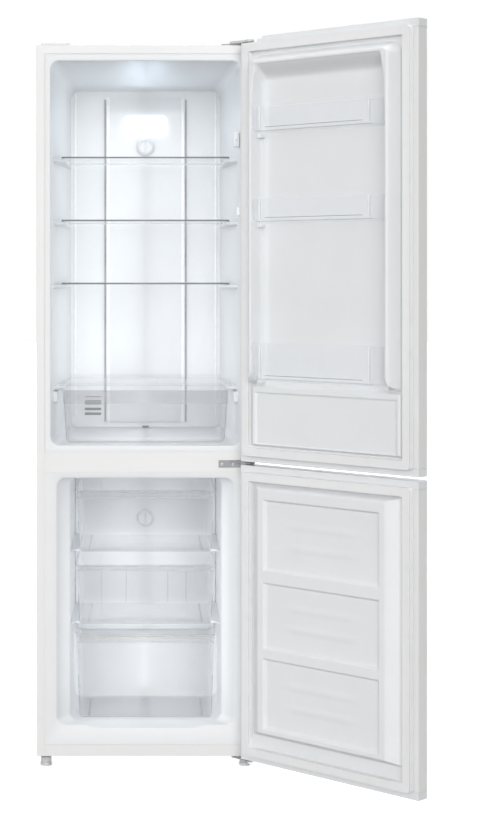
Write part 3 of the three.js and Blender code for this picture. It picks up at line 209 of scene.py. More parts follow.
def mouldedPlastic(name="mouldedPlastic", roughness=0.36, scale=1.0):
    look = {"texture": 1400, "flow": 9, "dust": 55}
    made, shader, place = newFinish(name, {"IOR": 1.49})
    texture = grain(place, look["texture"], 2)
    flow = grain(place, look["flow"], 3)
    dust = grain(place, look["dust"], 5, 0.65)
    base = [part * scale for part in paint["plastic"]]
    tone = (flow * 0.7 + dust * 0.3).between(0.32, 0.68)
    feed(
        shader,
        Base_Color=tone.blend(tinted(base, 0.975, 0.975, 0.97), tinted(base)),
        Roughness=roughness + flow * 0.1 + dust.between(0.5, 0.8) * 0.08,
        Normal=bump(texture * 0.5 + flow * 3.0, 0.10, 0.0006),
    )
    return made


def gasketRubber():
    made, shader, place = newFinish("gasketRubber", {"IOR": 1.45, "Sheen Weight": 0.1})
    speck = grain(place, 900, 3)
    grime = grain(place, 30, 4)
    base = paint["gasket"]
    dirty = grime.between(0.45, 0.8)
    feed(
        shader,
        Base_Color=dirty.blend(tinted(base), tinted(base, 0.965, 0.965, 0.96)),
        Roughness=0.55 + speck * 0.15,
        Normal=bump(speck, 0.2, 0.0003),
    )
    return made


def clearPlastic(name="clearPlastic", face=0.03, rim=0.42, tint=1.15):
    # see-through by alpha, thicker-looking where a wall is seen along its face
    made, shader, place = newFinish(name, {"IOR": 1.46, "Specular IOR Level": 0.5})
    scuff = grain(place, 38, 4, 0.6)
    flow = grain(place, 7, 2)
    texture = grain(place, 700, 2)
    edgeOn = place.make("ShaderNodeLayerWeight", inputs={"Blend": 0.32}, out=1)
    base = [part * tint for part in paint["clear"]]
    feed(
        shader,
        Base_Color=flow.blend(tinted(base, 0.95, 0.95, 0.96), tinted(base)),
        Roughness=0.1 + scuff.between(0.4, 0.8) * 0.12,
        Alpha=face + (edgeOn ** 1.4) * (rim - face) + scuff.between(0.5, 0.85) * 0.02,
        Normal=bump(texture * 0.05 + flow, 0.08, 0.001),
    )
    return made


def shelfGlass():
    made, shader, place = newFinish("shelfGlass", {"IOR": 1.52, "Specular IOR Level": 0.5})
    smear = grain(place, 12, 4, 0.6)
    edgeOn = place.make("ShaderNodeLayerWeight", inputs={"Blend": 0.25}, out=1)
    feed(
        shader,
        Base_Color=smear.blend(colour(0.70, 0.76, 0.76), colour(0.77, 0.81, 0.82)),
        Roughness=0.04 + smear.between(0.45, 0.8) * 0.08,
        Alpha=0.04 + edgeOn * 0.14 + smear.between(0.5, 0.85) * 0.02,
        Normal=bump(smear, 0.02, 0.001),
    )
    return made


def groundGlass(name, dark, light, cloudScale, roughness, alpha=None):
    # a ground edge of the glass
    made, shader, place = newFinish(name, {"IOR": 1.5})
    ground = grain(place, 600, 3)
    cloud = grain(place, cloudScale, 2)
    feed(
        shader,
        Base_Color=cloud.blend(colour(*dark), colour(*light)),
        Roughness=roughness + ground * 0.2,
        Normal=bump(ground, 0.3, 0.0003),
    )
    if alpha:
        feed(shader, Alpha=alpha + cloud * 0.2)
    return made


def lampDiffuser():
    made, shader, place = newFinish("lampDiffuser", {"Emission Strength": 1.4, "IOR": 1.49})
    frost = grain(place, 500, 2)
    glow = grain(place, 40, 1)
    feed(
        shader,
        Base_Color=frost.blend(colour(0.85, 0.87, 0.9), colour(0.9, 0.92, 0.95)),
        Emission_Color=glow.blend(colour(0.84, 0.92, 1.0), colour(0.95, 0.98, 1.0)),
        Roughness=0.35 + frost * 0.15,
        Normal=bump(frost, 0.2, 0.0004),
    )
    return made


def metal(name, base, roughness, scale, streaks=(1, 1, 1), metallic=1.0, spread=0.1, dirt=0.1):
    made, shader, place = newFinish(name, {"IOR": 1.45})
    stretched = place.make(
        "ShaderNodeVectorMath", {"operation": "MULTIPLY"}, {0: place, 1: streaks}
    )
    fine = grain(stretched, scale, 3)
    cloud = grain(place, 22, 4)
    clouded = cloud.between(0.35, 0.75)
    shade = clouded.blend(tinted(base, 1 - dirt, 1 - dirt, 1 - dirt * 0.9), tinted(base))
    feed(
        shader,
        Base_Color=shade,
        Metallic=metallic - cloud.between(0.6, 0.9) * 0.08,
        Roughness=roughness + fine * spread + cloud * 0.06,
        Normal=bump(fine, 0.12, 0.0003),
    )
    return made


def galvanised():
    # zinc spangle: flat crystals a few millimetres across, each with its own tone
    made, shader, place = newFinish("galvanisedSteel", {"IOR": 1.45})
    warp = grain(place, 60, 2)
    crystal = place.make(
        "ShaderNodeTexVoronoi", {"feature": "F1"}, {"Vector": place, "Scale": 170.0}, out=1
    )
    value = crystal.make("ShaderNodeRGBToBW", inputs={"Color": crystal})
    tone = value * 0.6 + warp * 0.4
    feed(
        shader,
        Base_Color=tone.blend(colour(0.50, 0.52, 0.53), colour(0.68, 0.70, 0.71)),
        Metallic=0.85 + value * 0.1,
        Roughness=0.38 + value * 0.16 + warp * 0.06,
        Normal=bump(value, 0.06, 0.0003),
    )
    return made


def roughFoam():
    made, shader, place = newFinish("rigidFoam", {"IOR": 1.4})
    cell = place.make("ShaderNodeTexVoronoi", {"feature": "F1"}, {"Vector": place, "Scale": 420.0})
    cloud = grain(place, 18, 4)
    feed(
        shader,
        Base_Color=cloud.blend(colour(0.72, 0.62, 0.36), colour(0.82, 0.74, 0.50)),
        Roughness=0.8 + cell * 0.2,
        Normal=bump(cell + cloud * 2, 0.5, 0.001),
    )
    return made


whiteSteel = paintedSteel()
liner = mouldedPlastic()
trimPlastic = mouldedPlastic("trimPlastic", roughness=0.3, scale=0.99)
knobPlastic = mouldedPlastic("knobPlastic", roughness=0.24, scale=1.02)
# a darker copy of the liner plastic: painted shade in grooves, gaps, joints and screw recesses
grooveShadePlastic = mouldedPlastic("grooveShadePlastic", roughness=0.5, scale=0.62)
# a slightly darker copy of the liner plastic: painted shade on the dial's pointer line
softGrooveShade = mouldedPlastic("softGrooveShade", roughness=0.5, scale=0.86)
# a dark copy of the liner plastic: painted shade inside the return-air slots and the duct's outlets, also
# used for a short mark low on the back wall
slotShade = mouldedPlastic("slotShade", roughness=0.6, scale=0.30)
rubber = gasketRubber()
clear = clearPlastic()
# a darker clear plastic: painted shade on handle bands, finger grooves and lines beside ribs
shadedClearBand = clearPlastic("shadedClearBand", face=0.2, rim=0.5, tint=0.78)
# a lighter clear plastic: painted highlight on the door bins' ribs
litClearRib = clearPlastic("litClearRib", face=0.45, rim=0.6, tint=1.2)
# a dark clear plastic: painted shade along the trays' front corners and the bins' lines
shadedClearLine = clearPlastic("shadedClearLine", face=0.5, rim=0.7, tint=0.5)
# a lighter, glossier copy of the liner plastic: painted highlight on beads, ribs, plugs and the clip
highlightPlastic = mouldedPlastic("highlightPlastic", roughness=0.22, scale=1.16)
glass = shelfGlass()
# the front edge is painted dark as the shade gathered inside the glass, the other edges painted light as the
# white walls they face
shadedGlassRim = groundGlass("shadedGlassEdge", (0.13, 0.145, 0.155), (0.19, 0.205, 0.22), 25, 0.28)
litGlassSide = groundGlass("litGlassSide", (0.58, 0.63, 0.65), (0.66, 0.70, 0.72), 20, 0.3, alpha=0.5)
diffuser = lampDiffuser()
hingeSteel = metal(
    "hingeSteel", (0.33, 0.33, 0.335), 0.58, 300, streaks=(1, 1, 6), spread=0.12, dirt=0.2
)
screwSteel = metal("screwSteel", (0.66, 0.67, 0.68), 0.45, 500)
capGrey = (0.60, 0.605, 0.61)
footPlastic = metal("footPlastic", capGrey, 0.4, 600, metallic=0.2, dirt=0.12)
hingeCapPlastic = metal("hingeCapPlastic", capGrey, 0.4, 600, metallic=0.1, dirt=0.08)
zinc = galvanised()
aluminium = metal("finAluminium", (0.78, 0.79, 0.80), 0.35, 400, (1, 5, 1))
copper = metal("copperTube", (0.62, 0.32, 0.20), 0.32, 300, dirt=0.35)
blackEnamel = metal("blackEnamel", (0.022, 0.022, 0.024), 0.38, 200, metallic=0.1, dirt=0.3)
darkPlastic = metal("darkPlastic", (0.045, 0.045, 0.05), 0.5, 500, metallic=0.08, dirt=0.25)
greyPlastic = metal("greyPlastic", (0.30, 0.30, 0.31), 0.45, 500, metallic=0.08, dirt=0.15)
foam = roughFoam()
print("materials made:", len(bpy.data.materials))


# Shapes: lofts, pads, turned profiles and pipes, all in millimetres


def roundedLoop(aSpan, bSpan, radius, steps=6):
    (a0, a1), (b0, b1) = aSpan, bSpan
    leastStraight, leastRadius = 0.01, 0.02
    widest = min((a1 - a0) / 2, (b1 - b0) / 2) - leastStraight
    radius = max(min(radius, widest), leastRadius)
    corners = (
        (a1 - radius, b0 + radius, -90),
        (a1 - radius, b1 - radius, 0),
        (a0 + radius, b1 - radius, 90),
        (a0 + radius, b0 + radius, 180),
    )
    points = []
    for a, b, start in corners:
        for i in range(steps + 1):
            turn = math.radians(start + 90 * i / steps)
            points.append((a + radius * math.cos(turn), b + radius * math.sin(turn)))
    return points


def bends(*angles):
    # the sine and cosine at each angle of a rounded edge
    return [(math.sin(math.radians(t)), math.cos(math.radians(t))) for t in angles]


def arc(a, b, radius, start, end, steps):
    turns = [math.radians(start + (end - start) * i / steps) for i in range(steps + 1)]
    return [(a + radius * math.cos(turn), b + radius * math.sin(turn)) for turn in turns]


def ringOf(centre, radius, count):
    # places spread evenly round a circle
    turns = [2 * math.pi * k / count for k in range(count)]
    return [(centre[0] + radius * math.cos(t), centre[1] + radius * math.sin(t)) for t in turns]


def along(axis, a, b, c):
    # x outlines hold (y, z), y outlines (x, z) and z outlines (x, y); c lies along the axis
    return {"x": (c, a, b), "y": (a, c, b), "z": (a, b, c)}[axis]


def eased(span, edge):
    # stations from one end to the other with both edges rounded over
    start, end = span
    near = [(start + edge * (1 - s), edge * (1 - c)) for s, c in bends(0, 30, 60, 90)]
    return near[::-1] + [(end - (c - start), inset) for c, inset in near]


def smooth(value, start, end):
    t = min(max((value - start) / (end - start), 0), 1)
    return t * t * (3 - 2 * t)


class Shape:
    # points and faces in millimetres, gathered before the mesh is made
    def __init__(self):
        self.points = []
        self.faces = []
        self.looks = []

    def loft(self, loops, caps=(True, True), look=0, ring=False):
        first, count = len(self.points), len(loops[0])
        for loop in loops:
            self.points += loop
        rings = len(loops) if ring else len(loops) - 1
        for k in range(rings):
            here, there = first + k * count, first + (k + 1) % len(loops) * count
            for i in range(count):
                j = (i + 1) % count
                self.faces.append((here + i, here + j, there + j, there + i))
                self.looks.append(look)
        for wanted, start in zip(caps, (first, first + (len(loops) - 1) * count)):
            if wanted and not ring:
                self.faces.append(tuple(range(start, start + count)))
                self.looks.append(look)
        return self

    def pad(self, axis, aSpan, bSpan, cSpan, corner=3, edge=1, look=0, steps=5):
        # a block with round corners and eased edges, pushed along an axis
        loops = []
        for c, inset in eased(cSpan, edge):
            outline = roundedLoop(drawnIn(aSpan, inset), drawnIn(bSpan, inset), corner - inset, steps)
            loops.append([along(axis, a, b, c) for a, b in outline])
        return self.loft(loops, look=look)

    def slab(self, outline, zSpan):
        return self.loft([[(x, y, z) for x, y in outline] for z in zSpan])

    def turn(self, axis, centre, profile, steps=32, look=0, ring=False):
        # profile holds (radius, place along the axis); centre the other two coordinates
        loops = []
        for radius, c in profile:
            circle = arc(centre[0], centre[1], max(radius, 0.01), 0, 360 - 360 / steps, steps - 1)
            loops.append([along(axis, a, b, c) for a, b in circle])
        return self.loft(loops, look=look, ring=ring)

    def pipe(self, route, radius, sides=10, look=0):
        loops, unlikely = [], Vector((0.31, 0.17, 0.93))  # a direction that no route follows
        turns = [2 * math.pi * k / sides for k in range(sides)]
        for i, point in enumerate(route):
            before = Vector(route[max(i - 1, 0)])
            after = Vector(route[min(i + 1, len(route) - 1)])
            ahead = (after - before).normalized()
            aside = ahead.cross(unlikely).normalized()
            up = ahead.cross(aside)
            loops.append([
                tuple(Vector(point) + radius * (math.cos(t) * aside + math.sin(t) * up)) for t in turns
            ])
        return self.loft(loops, look=look)

    def screw(self, axis, centre, face, outward, radius=4, look=0, recessShade=1):
        # a domed head with a cross recess, whose look is a dark one as painted shade; outward is -1 or 1
        # along the axis
        dome = [(radius, face), (radius, face + outward * 0.5), (radius * 0.86, face + outward * 1.4)]
        dome += [(radius * 0.55, face + outward * 1.9), (0.02, face + outward * 2.1)]
        self.turn(axis, centre, dome, 20, look)
        long, short = radius * 0.62, radius * 0.15
        top = sorted((face + outward * 1.6, face + outward * 2.25))
        for a, b in ((long, short), (short, long)):
            aSpan, bSpan = around(centre[0], a), around(centre[1], b)
            self.pad(axis, aSpan, bSpan, top, 0.3, 0.1, recessShade, 1)
        return self


def turned(point, leaf):
    # a closed door's point, swung open about the hinge; other pieces' points stay
    if not leaf:
        return Vector(point)
    angle = math.radians(hinge["openAngle"])
    dx, dy = point[0] - hinge["x"], point[1] - hinge["y"]
    x = hinge["x"] + dx * math.cos(angle) - dy * math.sin(angle)
    y = hinge["y"] + dx * math.sin(angle) + dy * math.cos(angle)
    return Vector((x, y, point[2]))


seeThroughSlot = "clear_plastic"  # its pieces cast no shadow, so that stacked trays stay bright


def roundEdges(piece, width, segments=2, harden=False):
    rounding = piece.modifiers.new("roundedEdges", "BEVEL")
    rounding.width = width * mm
    rounding.segments = segments
    rounding.limit_method = "ANGLE"
    rounding.angle_limit = math.radians(40)
    rounding.harden_normals = harden


def build(
    name, shape, body, looks, slot, replaces=(), door=False, sharp=32, edge=0.0, edgeSteps=2
):
    mesh = bpy.data.meshes.new(name)
    points = [turned(point, door) * mm + middle for point in shape.points]
    mesh.from_pydata(points, [], shape.faces)
    for material in looks if isinstance(looks, (list, tuple)) else [looks]:
        mesh.materials.append(material)
    for face, look in zip(mesh.polygons, shape.looks):
        face.material_index = look
        face.use_smooth = True
    work = bmesh.new()
    work.from_mesh(mesh)
    bmesh.ops.remove_doubles(work, verts=work.verts, dist=0.00001)
    bmesh.ops.recalc_face_normals(work, faces=work.faces)
    work.to_mesh(mesh)
    work.free()
    mesh.set_sharp_from_angle(angle=math.radians(sharp))
    piece = bpy.data.objects.new(name, mesh)
    bpy.context.scene.collection.objects.link(piece)
    if edge:
        roundEdges(piece, edge, edgeSteps, harden=True)
    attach(piece, body)
    piece.visible_shadow = slot != seeThroughSlot
    if replaces:
        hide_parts(*replaces)
    return piece


# The camera that the photograph was taken with, and a pale studio around it

photo = {
    "width": 483,
    "height": 840,
    "distance": 4723,  # from the cabinet's front plane
    "level": 1214,
    "focal": 1907,  # in pixels
    "centre": (145.5, 276),  # where the camera's axis meets the picture
}


def makeCamera():
    lens = bpy.data.cameras.new("camera")
    lens.sensor_fit = "AUTO"
    lens.sensor_width = 36
    lens.lens = photo["focal"] * lens.sensor_width / photo["height"]
    lens.shift_x = (photo["width"] / 2 - photo["centre"][0]) / photo["height"]
    lens.shift_y = -(photo["height"] / 2 - photo["centre"][1]) / photo["height"]
    lens.clip_start, lens.clip_end = 0.05, 60
    camera = bpy.data.objects.new("camera", lens)
    camera.location = Vector((0, -photo["distance"], photo["level"])) * mm + middle
    camera.rotation_euler = (math.radians(90), 0, 0)
    bpy.context.scene.collection.objects.link(camera)
    bpy.context.scene.camera = camera


studio = {
    "skyStrength": 0.28,
    "glossStrength": 0.8,  # what shiny surfaces see of the room
    "backdropStrength": 1.0,
    "suns": (  # from which direction, strength, width of the source in degrees
        ("frontSoftbox", (0.05, -1, 0.12), 1.93, 44),
        ("keySoftbox", (-0.78, -0.66, 0.28), 0.95, 55),
        ("rearSoftbox", (0.55, 1, 0.5), 1.1, 60),
        ("topSoftbox", (0.1, 0.05, 1), 1.5, 50),
    ),
    "lampPower": 0.07,
    "lampColour": (0.52, 0.76, 1.0),
    "lampPlace": (0, 0.36, 1.62),
    "mouthBoxes": (  # width, height, depth, level and power, one in each compartment's mouth
        (0.45, 0.90, -0.012, 1.29, 0.08),
        (0.36, 0.54, -0.01, 0.41, 0.30),
    ),
    "trayBoxes": (  # level and power, each just behind the front of a clear tray
        (0.87, 0.10),
        (0.60, 0.03),
        (0.415, 0.03),
        (0.21, 0.03),
    ),
    "wallBoxes": (  # depth, height, level, and the power towards the left and the right wall
        (0.34, 0.92, 1.27, 0.70, 0.44),
        (0.28, 0.56, 0.41, 0.38, 0.32),
    ),
    "floorReach": 30,
    "floorGlow": 0.6,
}


def addToScene(name, content, place, direction):
    made = bpy.data.objects.new(name, content)
    made.location = place
    made.rotation_euler = Vector(direction).to_track_quat("-Z", "Y").to_euler()
    bpy.context.scene.collection.objects.link(made)
    return made


def makeSky():
    # the pale room that lights the fridge, in front of a white paper backdrop
    world = bpy.data.worlds.new("studio")
    bpy.context.scene.world = world
    world.use_nodes = True
    tree = world.node_tree
    plain = studio["skyStrength"]
    seen = Shade(tree).make("ShaderNodeLightPath")
    glossy = Shade(tree).make("ShaderNodeLightPath", out=3)
    strength = plain + seen * (studio["backdropStrength"] - plain)
    strength = strength + glossy * (studio["glossStrength"] - plain)
    sky = tree.nodes["Background"]
    sky.inputs["Color"].default_value = (1, 1, 1, 1)
    tree.links.new(strength.socket, sky.inputs["Strength"])


def makeFloor():
    reachOut = studio["floorReach"]
    corners = [(x * reachOut, y * reachOut, 0) for x, y in ((-1, -1), (1, -1), (1, 1), (-1, 1))]
    plane = bpy.data.meshes.new("floor")
    plane.from_pydata(corners, [], [(0, 1, 2, 3)])
    made, shader, place = newFinish(
        "studioFloor", {"Specular IOR Level": 0.1, "Emission Strength": studio["floorGlow"]}
    )
    cloud = grain(place, 1.2, 2)
    shade = cloud.blend(colour(0.93, 0.93, 0.93), colour(0.96, 0.96, 0.96))
    feed(shader, Base_Color=shade, Emission_Color=shade, Roughness=0.7 + cloud * 0.1)
    plane.materials.append(made)
    floor = bpy.data.objects.new("floor", plane)
    floor.visible_diffuse = False  # its glow isn't meant to light the fridge from below
    bpy.context.scene.collection.objects.link(floor)


def softbox(name, place, size, power, direction, tint):
    light = bpy.data.lights.new(name, "AREA")
    light.shape = "RECTANGLE"
    light.size, light.size_y = size
    light.energy = power
    light.color = tint
    box = addToScene(name, light, middle + Vector(place), direction)
    box.visible_camera = False
    return box


def makeStudio():
    bpy.context.scene.view_settings.view_transform = "Standard"
    makeSky()
    makeFloor()
    for name, source, strength, width in studio["suns"]:
        light = bpy.data.lights.new(name, "SUN")
        light.energy = strength
        light.angle = math.radians(width)
        addToScene(name, light, source, -Vector(source))
    lampTint = studio["lampColour"]
    softbox("shelfLamp", studio["lampPlace"], (0.10, 0.05), studio["lampPower"], (0, -1, 0.1), lampTint)
    for index, (width, height, depth, level, power) in enumerate(studio["mouthBoxes"]):
        place, size = (0, depth, level), (width, height)
        softbox(f"mouthSoftbox.{index}", place, size, power, (0, 1, 0), (0.95, 0.98, 1))
    for index, (level, power) in enumerate(studio["trayBoxes"]):
        name = f"traySoftbox.{index}"
        box = softbox(name, (0, 0.10, level), (0.34, 0.10), power, (0, 1, 0), (1, 1, 1))
        box.visible_glossy = False
    for index, (deep, height, level, *powers) in enumerate(studio["wallBoxes"]):
        for side, power in zip((-1, 1), powers):
            name = f"wallSoftbox.{index}.{'left' if side < 0 else 'right'}"
            place, size = (0, 0.21, level), (deep, height)
            box = softbox(name, place, size, power, (side, 0, 0), (0.94, 0.975, 1))
            box.visible_glossy = False


makeCamera()
makeStudio()
print("camera and studio ready")


# The steel casing, the back and the cover of the spare hinge holes

casing = {"sideFlange": 20, "topFlange": 21, "sheet": 1, "foldRadius": 2.2, "cornerRadius": 3.5}


def archPoints(inset, y):
    # up the left side, over the top and down the right side, drawn in by inset
    topInset = inset * casing["topFlange"] / casing["sideFlange"]
    side, top = half - inset, cabinet["top"] - topInset
    radius = max(casing["cornerRadius"] - inset, 0.2)
    left = [(-a, b) for a, b in arc(side - radius, top - radius, radius, 0, 90, 5)]
    right = arc(side - radius, top - radius, radius, 90, 0, 5)
    outline = [(-side, cabinet["bottom"])] + left + right + [(side, cabinet["bottom"])]
    return [(x, y, z) for x, z in outline]


def makeCasing():
    fold, sheet, depth = casing["foldRadius"], casing["sheet"], cabinet["depth"]
    outside = [(casing["sideFlange"], 0)]
    outside += [(fold - a, fold - b) for a, b in arc(0, 0, fold, 90, 0, 5)]
    outside += [(0, depth - 1), (0.6, depth)]
    inner = [(sheet + 0.4, depth), (sheet, depth - 1)]
    inner += [(fold - a, fold - b) for a, b in arc(0, 0, fold - sheet, 0, 90, 4)]
    inner += [(casing["sideFlange"], sheet)]
    rows = [archPoints(inset, y) for inset, y in outside + inner]
    loops = [[row[k] for row in rows] for k in range(len(rows[0]))]
    shape = Shape().loft(loops)
    build("cabinetCasing", shape, "cabinet", whiteSteel, "white_steel", ["outer_casing"], sharp=40)


def makeRearPanel():
    # flat steel back with pressed stiffening channels and a row of screws down each edge
    look = {"channelXs": (-170, 0, 170), "channelZs": (330, 1690), "screwPitch": 210}
    low, high = reach("rear_panel")
    face = high.y - 0.2
    shape = Shape().pad("y", *spans(low, high, "xz"), (low.y, face), 1, 0.3)
    for x in look["channelXs"]:
        for z0, z1 in ((look["channelZs"][0], 980), (1040, look["channelZs"][1])):
            shape.pad("y", around(x, 7), (z0, z1), (face - 0.4, face + 0.2), 7, 0.25)
    z = low.z + 30
    while z < high.z - 10:
        for x in (low.x + 9, high.x - 9):
            head = [(3.4, face - 0.1), (3.4, face + 0.15), (1.5, face + 0.2)]
            shape.turn("y", (x, z), head, 14, look=1)
        z += look["screwPitch"]
    build("rearPanel", shape, "cabinet", [zinc, screwSteel], "zinc_steel", ["rear_panel"])


def makeSpareHingeCover():
    node = "spare_hinge_cover"
    low, high = reach(node)
    shape = Shape().pad("z", *spans(low, high, "xyz"), 6, 1.6)
    # a line near the front, in the darker groove plastic as painted shade
    line = drawnIn((low.x, high.x), 14), (low.y + 8, low.y + 10), (high.z - 0.6, high.z - 0.1)
    shape.pad("z", *line, 0.8, 0.2, 1)
    build("spareHingeCover", shape, "cabinet", [trimPlastic, grooveShadePlastic], "white_plastic", [node])


makeCasing()
makeRearPanel()
makeSpareHingeCover()
print("cabinet shell made")


# The upper compartment: liner, air duct, lamp, dials, glass and switch

fridgeRoom = {
    "openingHalf": 235,
    "floor": 794,
    "ceiling": 1747,
    "depth": 440,
    "draft": 13,
    "corner": 22,
    "backCorner": 22,
    "wall": 1.5,
    "flangeHalf": half - 20.3,
    "flangeZ": (779.3, 1764.7),
    "lip": 3,
    "shelves": (1193, 1352, 1510.5),
    "coverLevel": 937,
    "ledgeReach": 35,
    "coverLedgeReach": 30,
    "ledgeHeight": 9,
    "ledgeFront": 70,
    "ventX": (-164, -120),
}


def fridgeSection(y, inset=0, grow=0):
    # once round the compartment at this depth; its walls lean in towards the back
    room = fridgeRoom
    lean = room["draft"] * max(y, 0) / room["depth"]
    side = room["openingHalf"] - lean - inset + grow
    top = room["ceiling"] - lean - inset + grow
    low = room["floor"] + inset * 0.6 - grow
    return [(x, y, z) for x, z in roundedLoop((-side, side), (low, top), room["corner"], 8)]


def fridgeHalfAt(y):
    return fridgeRoom["openingHalf"] - fridgeRoom["draft"] * y / fridgeRoom["depth"]


def makeFridgeLiner():
    room = fridgeRoom
    flange, lip, depth, back = (room[key] for key in ("flangeHalf", "lip", "depth", "backCorner"))
    wall, (flangeLow, flangeHigh) = room["wall"], room["flangeZ"]
    flangeLoop = []
    for y, inset in ((wall, 0), (0.9, 0), (0, 1.1)):
        xs, zs = (inset - flange, flange - inset), (flangeLow, flangeHigh - inset)
        flangeLoop.append([(x, y, z) for x, z in roundedLoop(xs, zs, 2, 8)])
    mouth = [fridgeSection(lip * (1 - c), -lip * (1 - s)) for s, c in bends(0, 22, 45, 67, 90)]
    walls = [fridgeSection(y) for y in (60, 200, 340, depth - back)]
    heelBends = bends(18, 36, 54, 72, 90)
    heel = [fridgeSection(depth - back * (1 - s), back * (1 - c)) for s, c in heelBends]
    outer = [fridgeSection(depth + wall, back, wall), fridgeSection(wall, 0, wall)]
    shape = Shape().loft(flangeLoop + mouth + walls + heel, caps=(False, True))
    shape.loft(outer + flangeLoop[:1], caps=(True, False))
    ledges = [(level, room["ledgeReach"]) for level in room["shelves"]]
    for level, reachIn in ledges + [(room["coverLevel"], room["coverLedgeReach"])]:
        for side in (-1, 1):
            addLedge(shape, side, level - seam, reachIn)
    ribZ = (room["floor"] + 40, room["ceiling"] - 38)
    # the ribs take the lighter plastic, a painted highlight
    for x in (-190, 190):  # pressed ribs beside the air duct
        shape.pad("y", around(x, 2.6), ribZ, (depth - 1.8, depth + 0.5), 2, 1, 2)
    behind = room["openingHalf"] + 0.5
    for side in (-1, 1):
        # a screw plug towards the back of each side wall, in the lighter plastic as a painted highlight, and
        # a boss beside the crisper
        face = side * fridgeHalfAt(408)
        stud = [(4.2, face + side), (4.2, face - side * 4), (3, face - side * 5.6), (0.02, face - side * 6)]
        shape.turn("x", (408, 1605), stud, 16, 2)
        shape.pad("x", (58, 132), (895.6, 923.6), onSide(side, 221, behind), 7, 3)
    z0 = room["floor"] + 44
    # the return-air slots are pads painted dark as the shade inside them
    for low, high in ((0, 6.5), (13, 19.5), (28.5, 40.5), (48, 51)):  # return-air slots
        ventZ = (z0 + low, z0 + high)
        shape.pad("y", room["ventX"], ventZ, (depth - 2.6, depth + 0.6), 1.2, 0.5, 1)
    markZ = (room["floor"] + 12, room["floor"] + 16)  # a short dark mark low in the middle
    shape.pad("y", (-9, 9), markZ, (depth - 24, depth - 10), 1.5, 0.5, 1)
    # the clip takes the lighter plastic, a painted highlight
    shape.pad("x", (26, 34), (1364, 1386), (227, behind), 3, 1.5, 2)  # a clip by the hinge side
    looks = [liner, slotShade, highlightPlastic]
    build("fridgeLiner", shape, "cabinet", looks, "white_plastic", ["fridge_liner"], sharp=38)


def addLedge(shape, side, top, reachIn):
    # a shelf ledge moulded into the side wall: level on top, rolled over at its free edge
    room = fridgeRoom
    free = room["openingHalf"] - reachIn
    front, back = room["ledgeFront"], room["depth"] - room["corner"]
    low = top - room["ledgeHeight"]
    loops = []
    stations = [(front, 29), (front + 8, 22), (front + 22, 8), (front + 30, 2), (front + 38, 0)]
    stations += [((front + back) / 2, 0), (back, 0)]
    for y, nose in stations:
        wall = fridgeHalfAt(y) + 0.8
        run = max(wall - free - nose, 2)
        roll, drop = min(3.5, run / 2), min(nose, 5) * 0.15
        section = [(wall, top - drop), (wall - run + roll, top - drop)]
        section += arc(wall - run + roll, top - roll - drop, roll, 90, 180, 4)[1:]
        section += arc(wall - run + roll, low + roll, roll, 180, 260, 4)
        section += [(wall - 4, low - 1.5), (wall, low - 6)]
        loops.append([(side * x, y, z) for x, z in section])
    shape.loft(loops)


def makeAirDuct():
    # a raised panel up the middle of the back wall: a bead down each side, painted lighter as a highlight,
    # a strip painted dark as shade beside it, and a top that runs out into the wall
    look = {
        "bead": (97, 105), "beadHeight": 1.2, "flank": 107, "shadeStripReach": 111.5,
        "topRun": 46, "topRise": 1.5, "bottomEase": 0.12,
    }
    low, high = reach("air_duct_cover")
    proud = high.y - low.y
    inner, outer = look["bead"]
    flank, bead = look["flank"], look["beadHeight"]
    section = [(flank, 0), (flank - 0.3, proud - 3.2), (outer + 0.6, proud - 0.8), (outer - 1.4, proud)]
    section += [(inner + 1, proud), (inner, proud - bead * 0.6), (inner - 1.6, proud - bead)]
    section = section + [(-x, rise) for x, rise in section[::-1]]
    topStart = high.z - look["topRun"]
    levels = [low.z, low.z + 2] + [high.z - look["topRun"] * (1 - k / 10) for k in range(11)]
    loops = []
    for level in levels:
        share = 1 - smooth(level, topStart, high.z + 2) * (1 - look["topRise"] / proud)
        share -= look["bottomEase"] if level == low.z else 0
        loops.append([(x, high.y - rise * share, level) for x, rise in section])
    shape = Shape().loft(loops)
    # the bead's faces take the lighter plastic, a painted highlight
    highlightColumns, columns = (2, 3, 4, 8, 9, 10), len(section)
    for k in range(columns * (len(levels) - 1)):
        if k % columns in highlightColumns:
            shape.looks[k] = 3
    for side in (-1, 1):
        shadeStrip, outlet = onSide(side, flank - 1, look["shadeStripReach"]), onSide(side, flank - 2, flank + 0.6)
        shape.pad("y", shadeStrip, (low.z, high.z - 6), (high.y - 1.4, high.y), 0.8, 0.3, 1)
        # the air outlets are pads painted dark as the shade inside them
        for level in fridgeRoom["shelves"]:  # air outlets in its flanks
            for drop in (0, 20, 40, 60):
                outletZ = (level - 50 - drop, level - 34 - drop)
                shape.pad("x", (low.y + 5, low.y + 9), outletZ, outlet, 1.5, 0.3, 2)
    looks = [liner, grooveShadePlastic, slotShade, highlightPlastic]
    build("airDuctPanel", shape, "cabinet", looks, "white_plastic", ["air_duct_cover"], sharp=48)


def makeLampCover():
    low, high = reach("lamp_cover")
    shape = Shape().pad("y", *spans(low, high, "xz"), (low.y, low.y + 4), 10, 2.2)
    for k in range(9):  # the prisms moulded across the diffuser
        x = low.x + 12 + k * (high.x - low.x - 24) / 8
        shape.pad("y", around(x, 1), (low.z + 6, high.z - 6), (low.y - 0.1, low.y + 1), 0.8, 0.3)
    build("lampDiffuserCover", shape, "cabinet", diffuser, "lamp_diffuser", ["lamp_cover"])


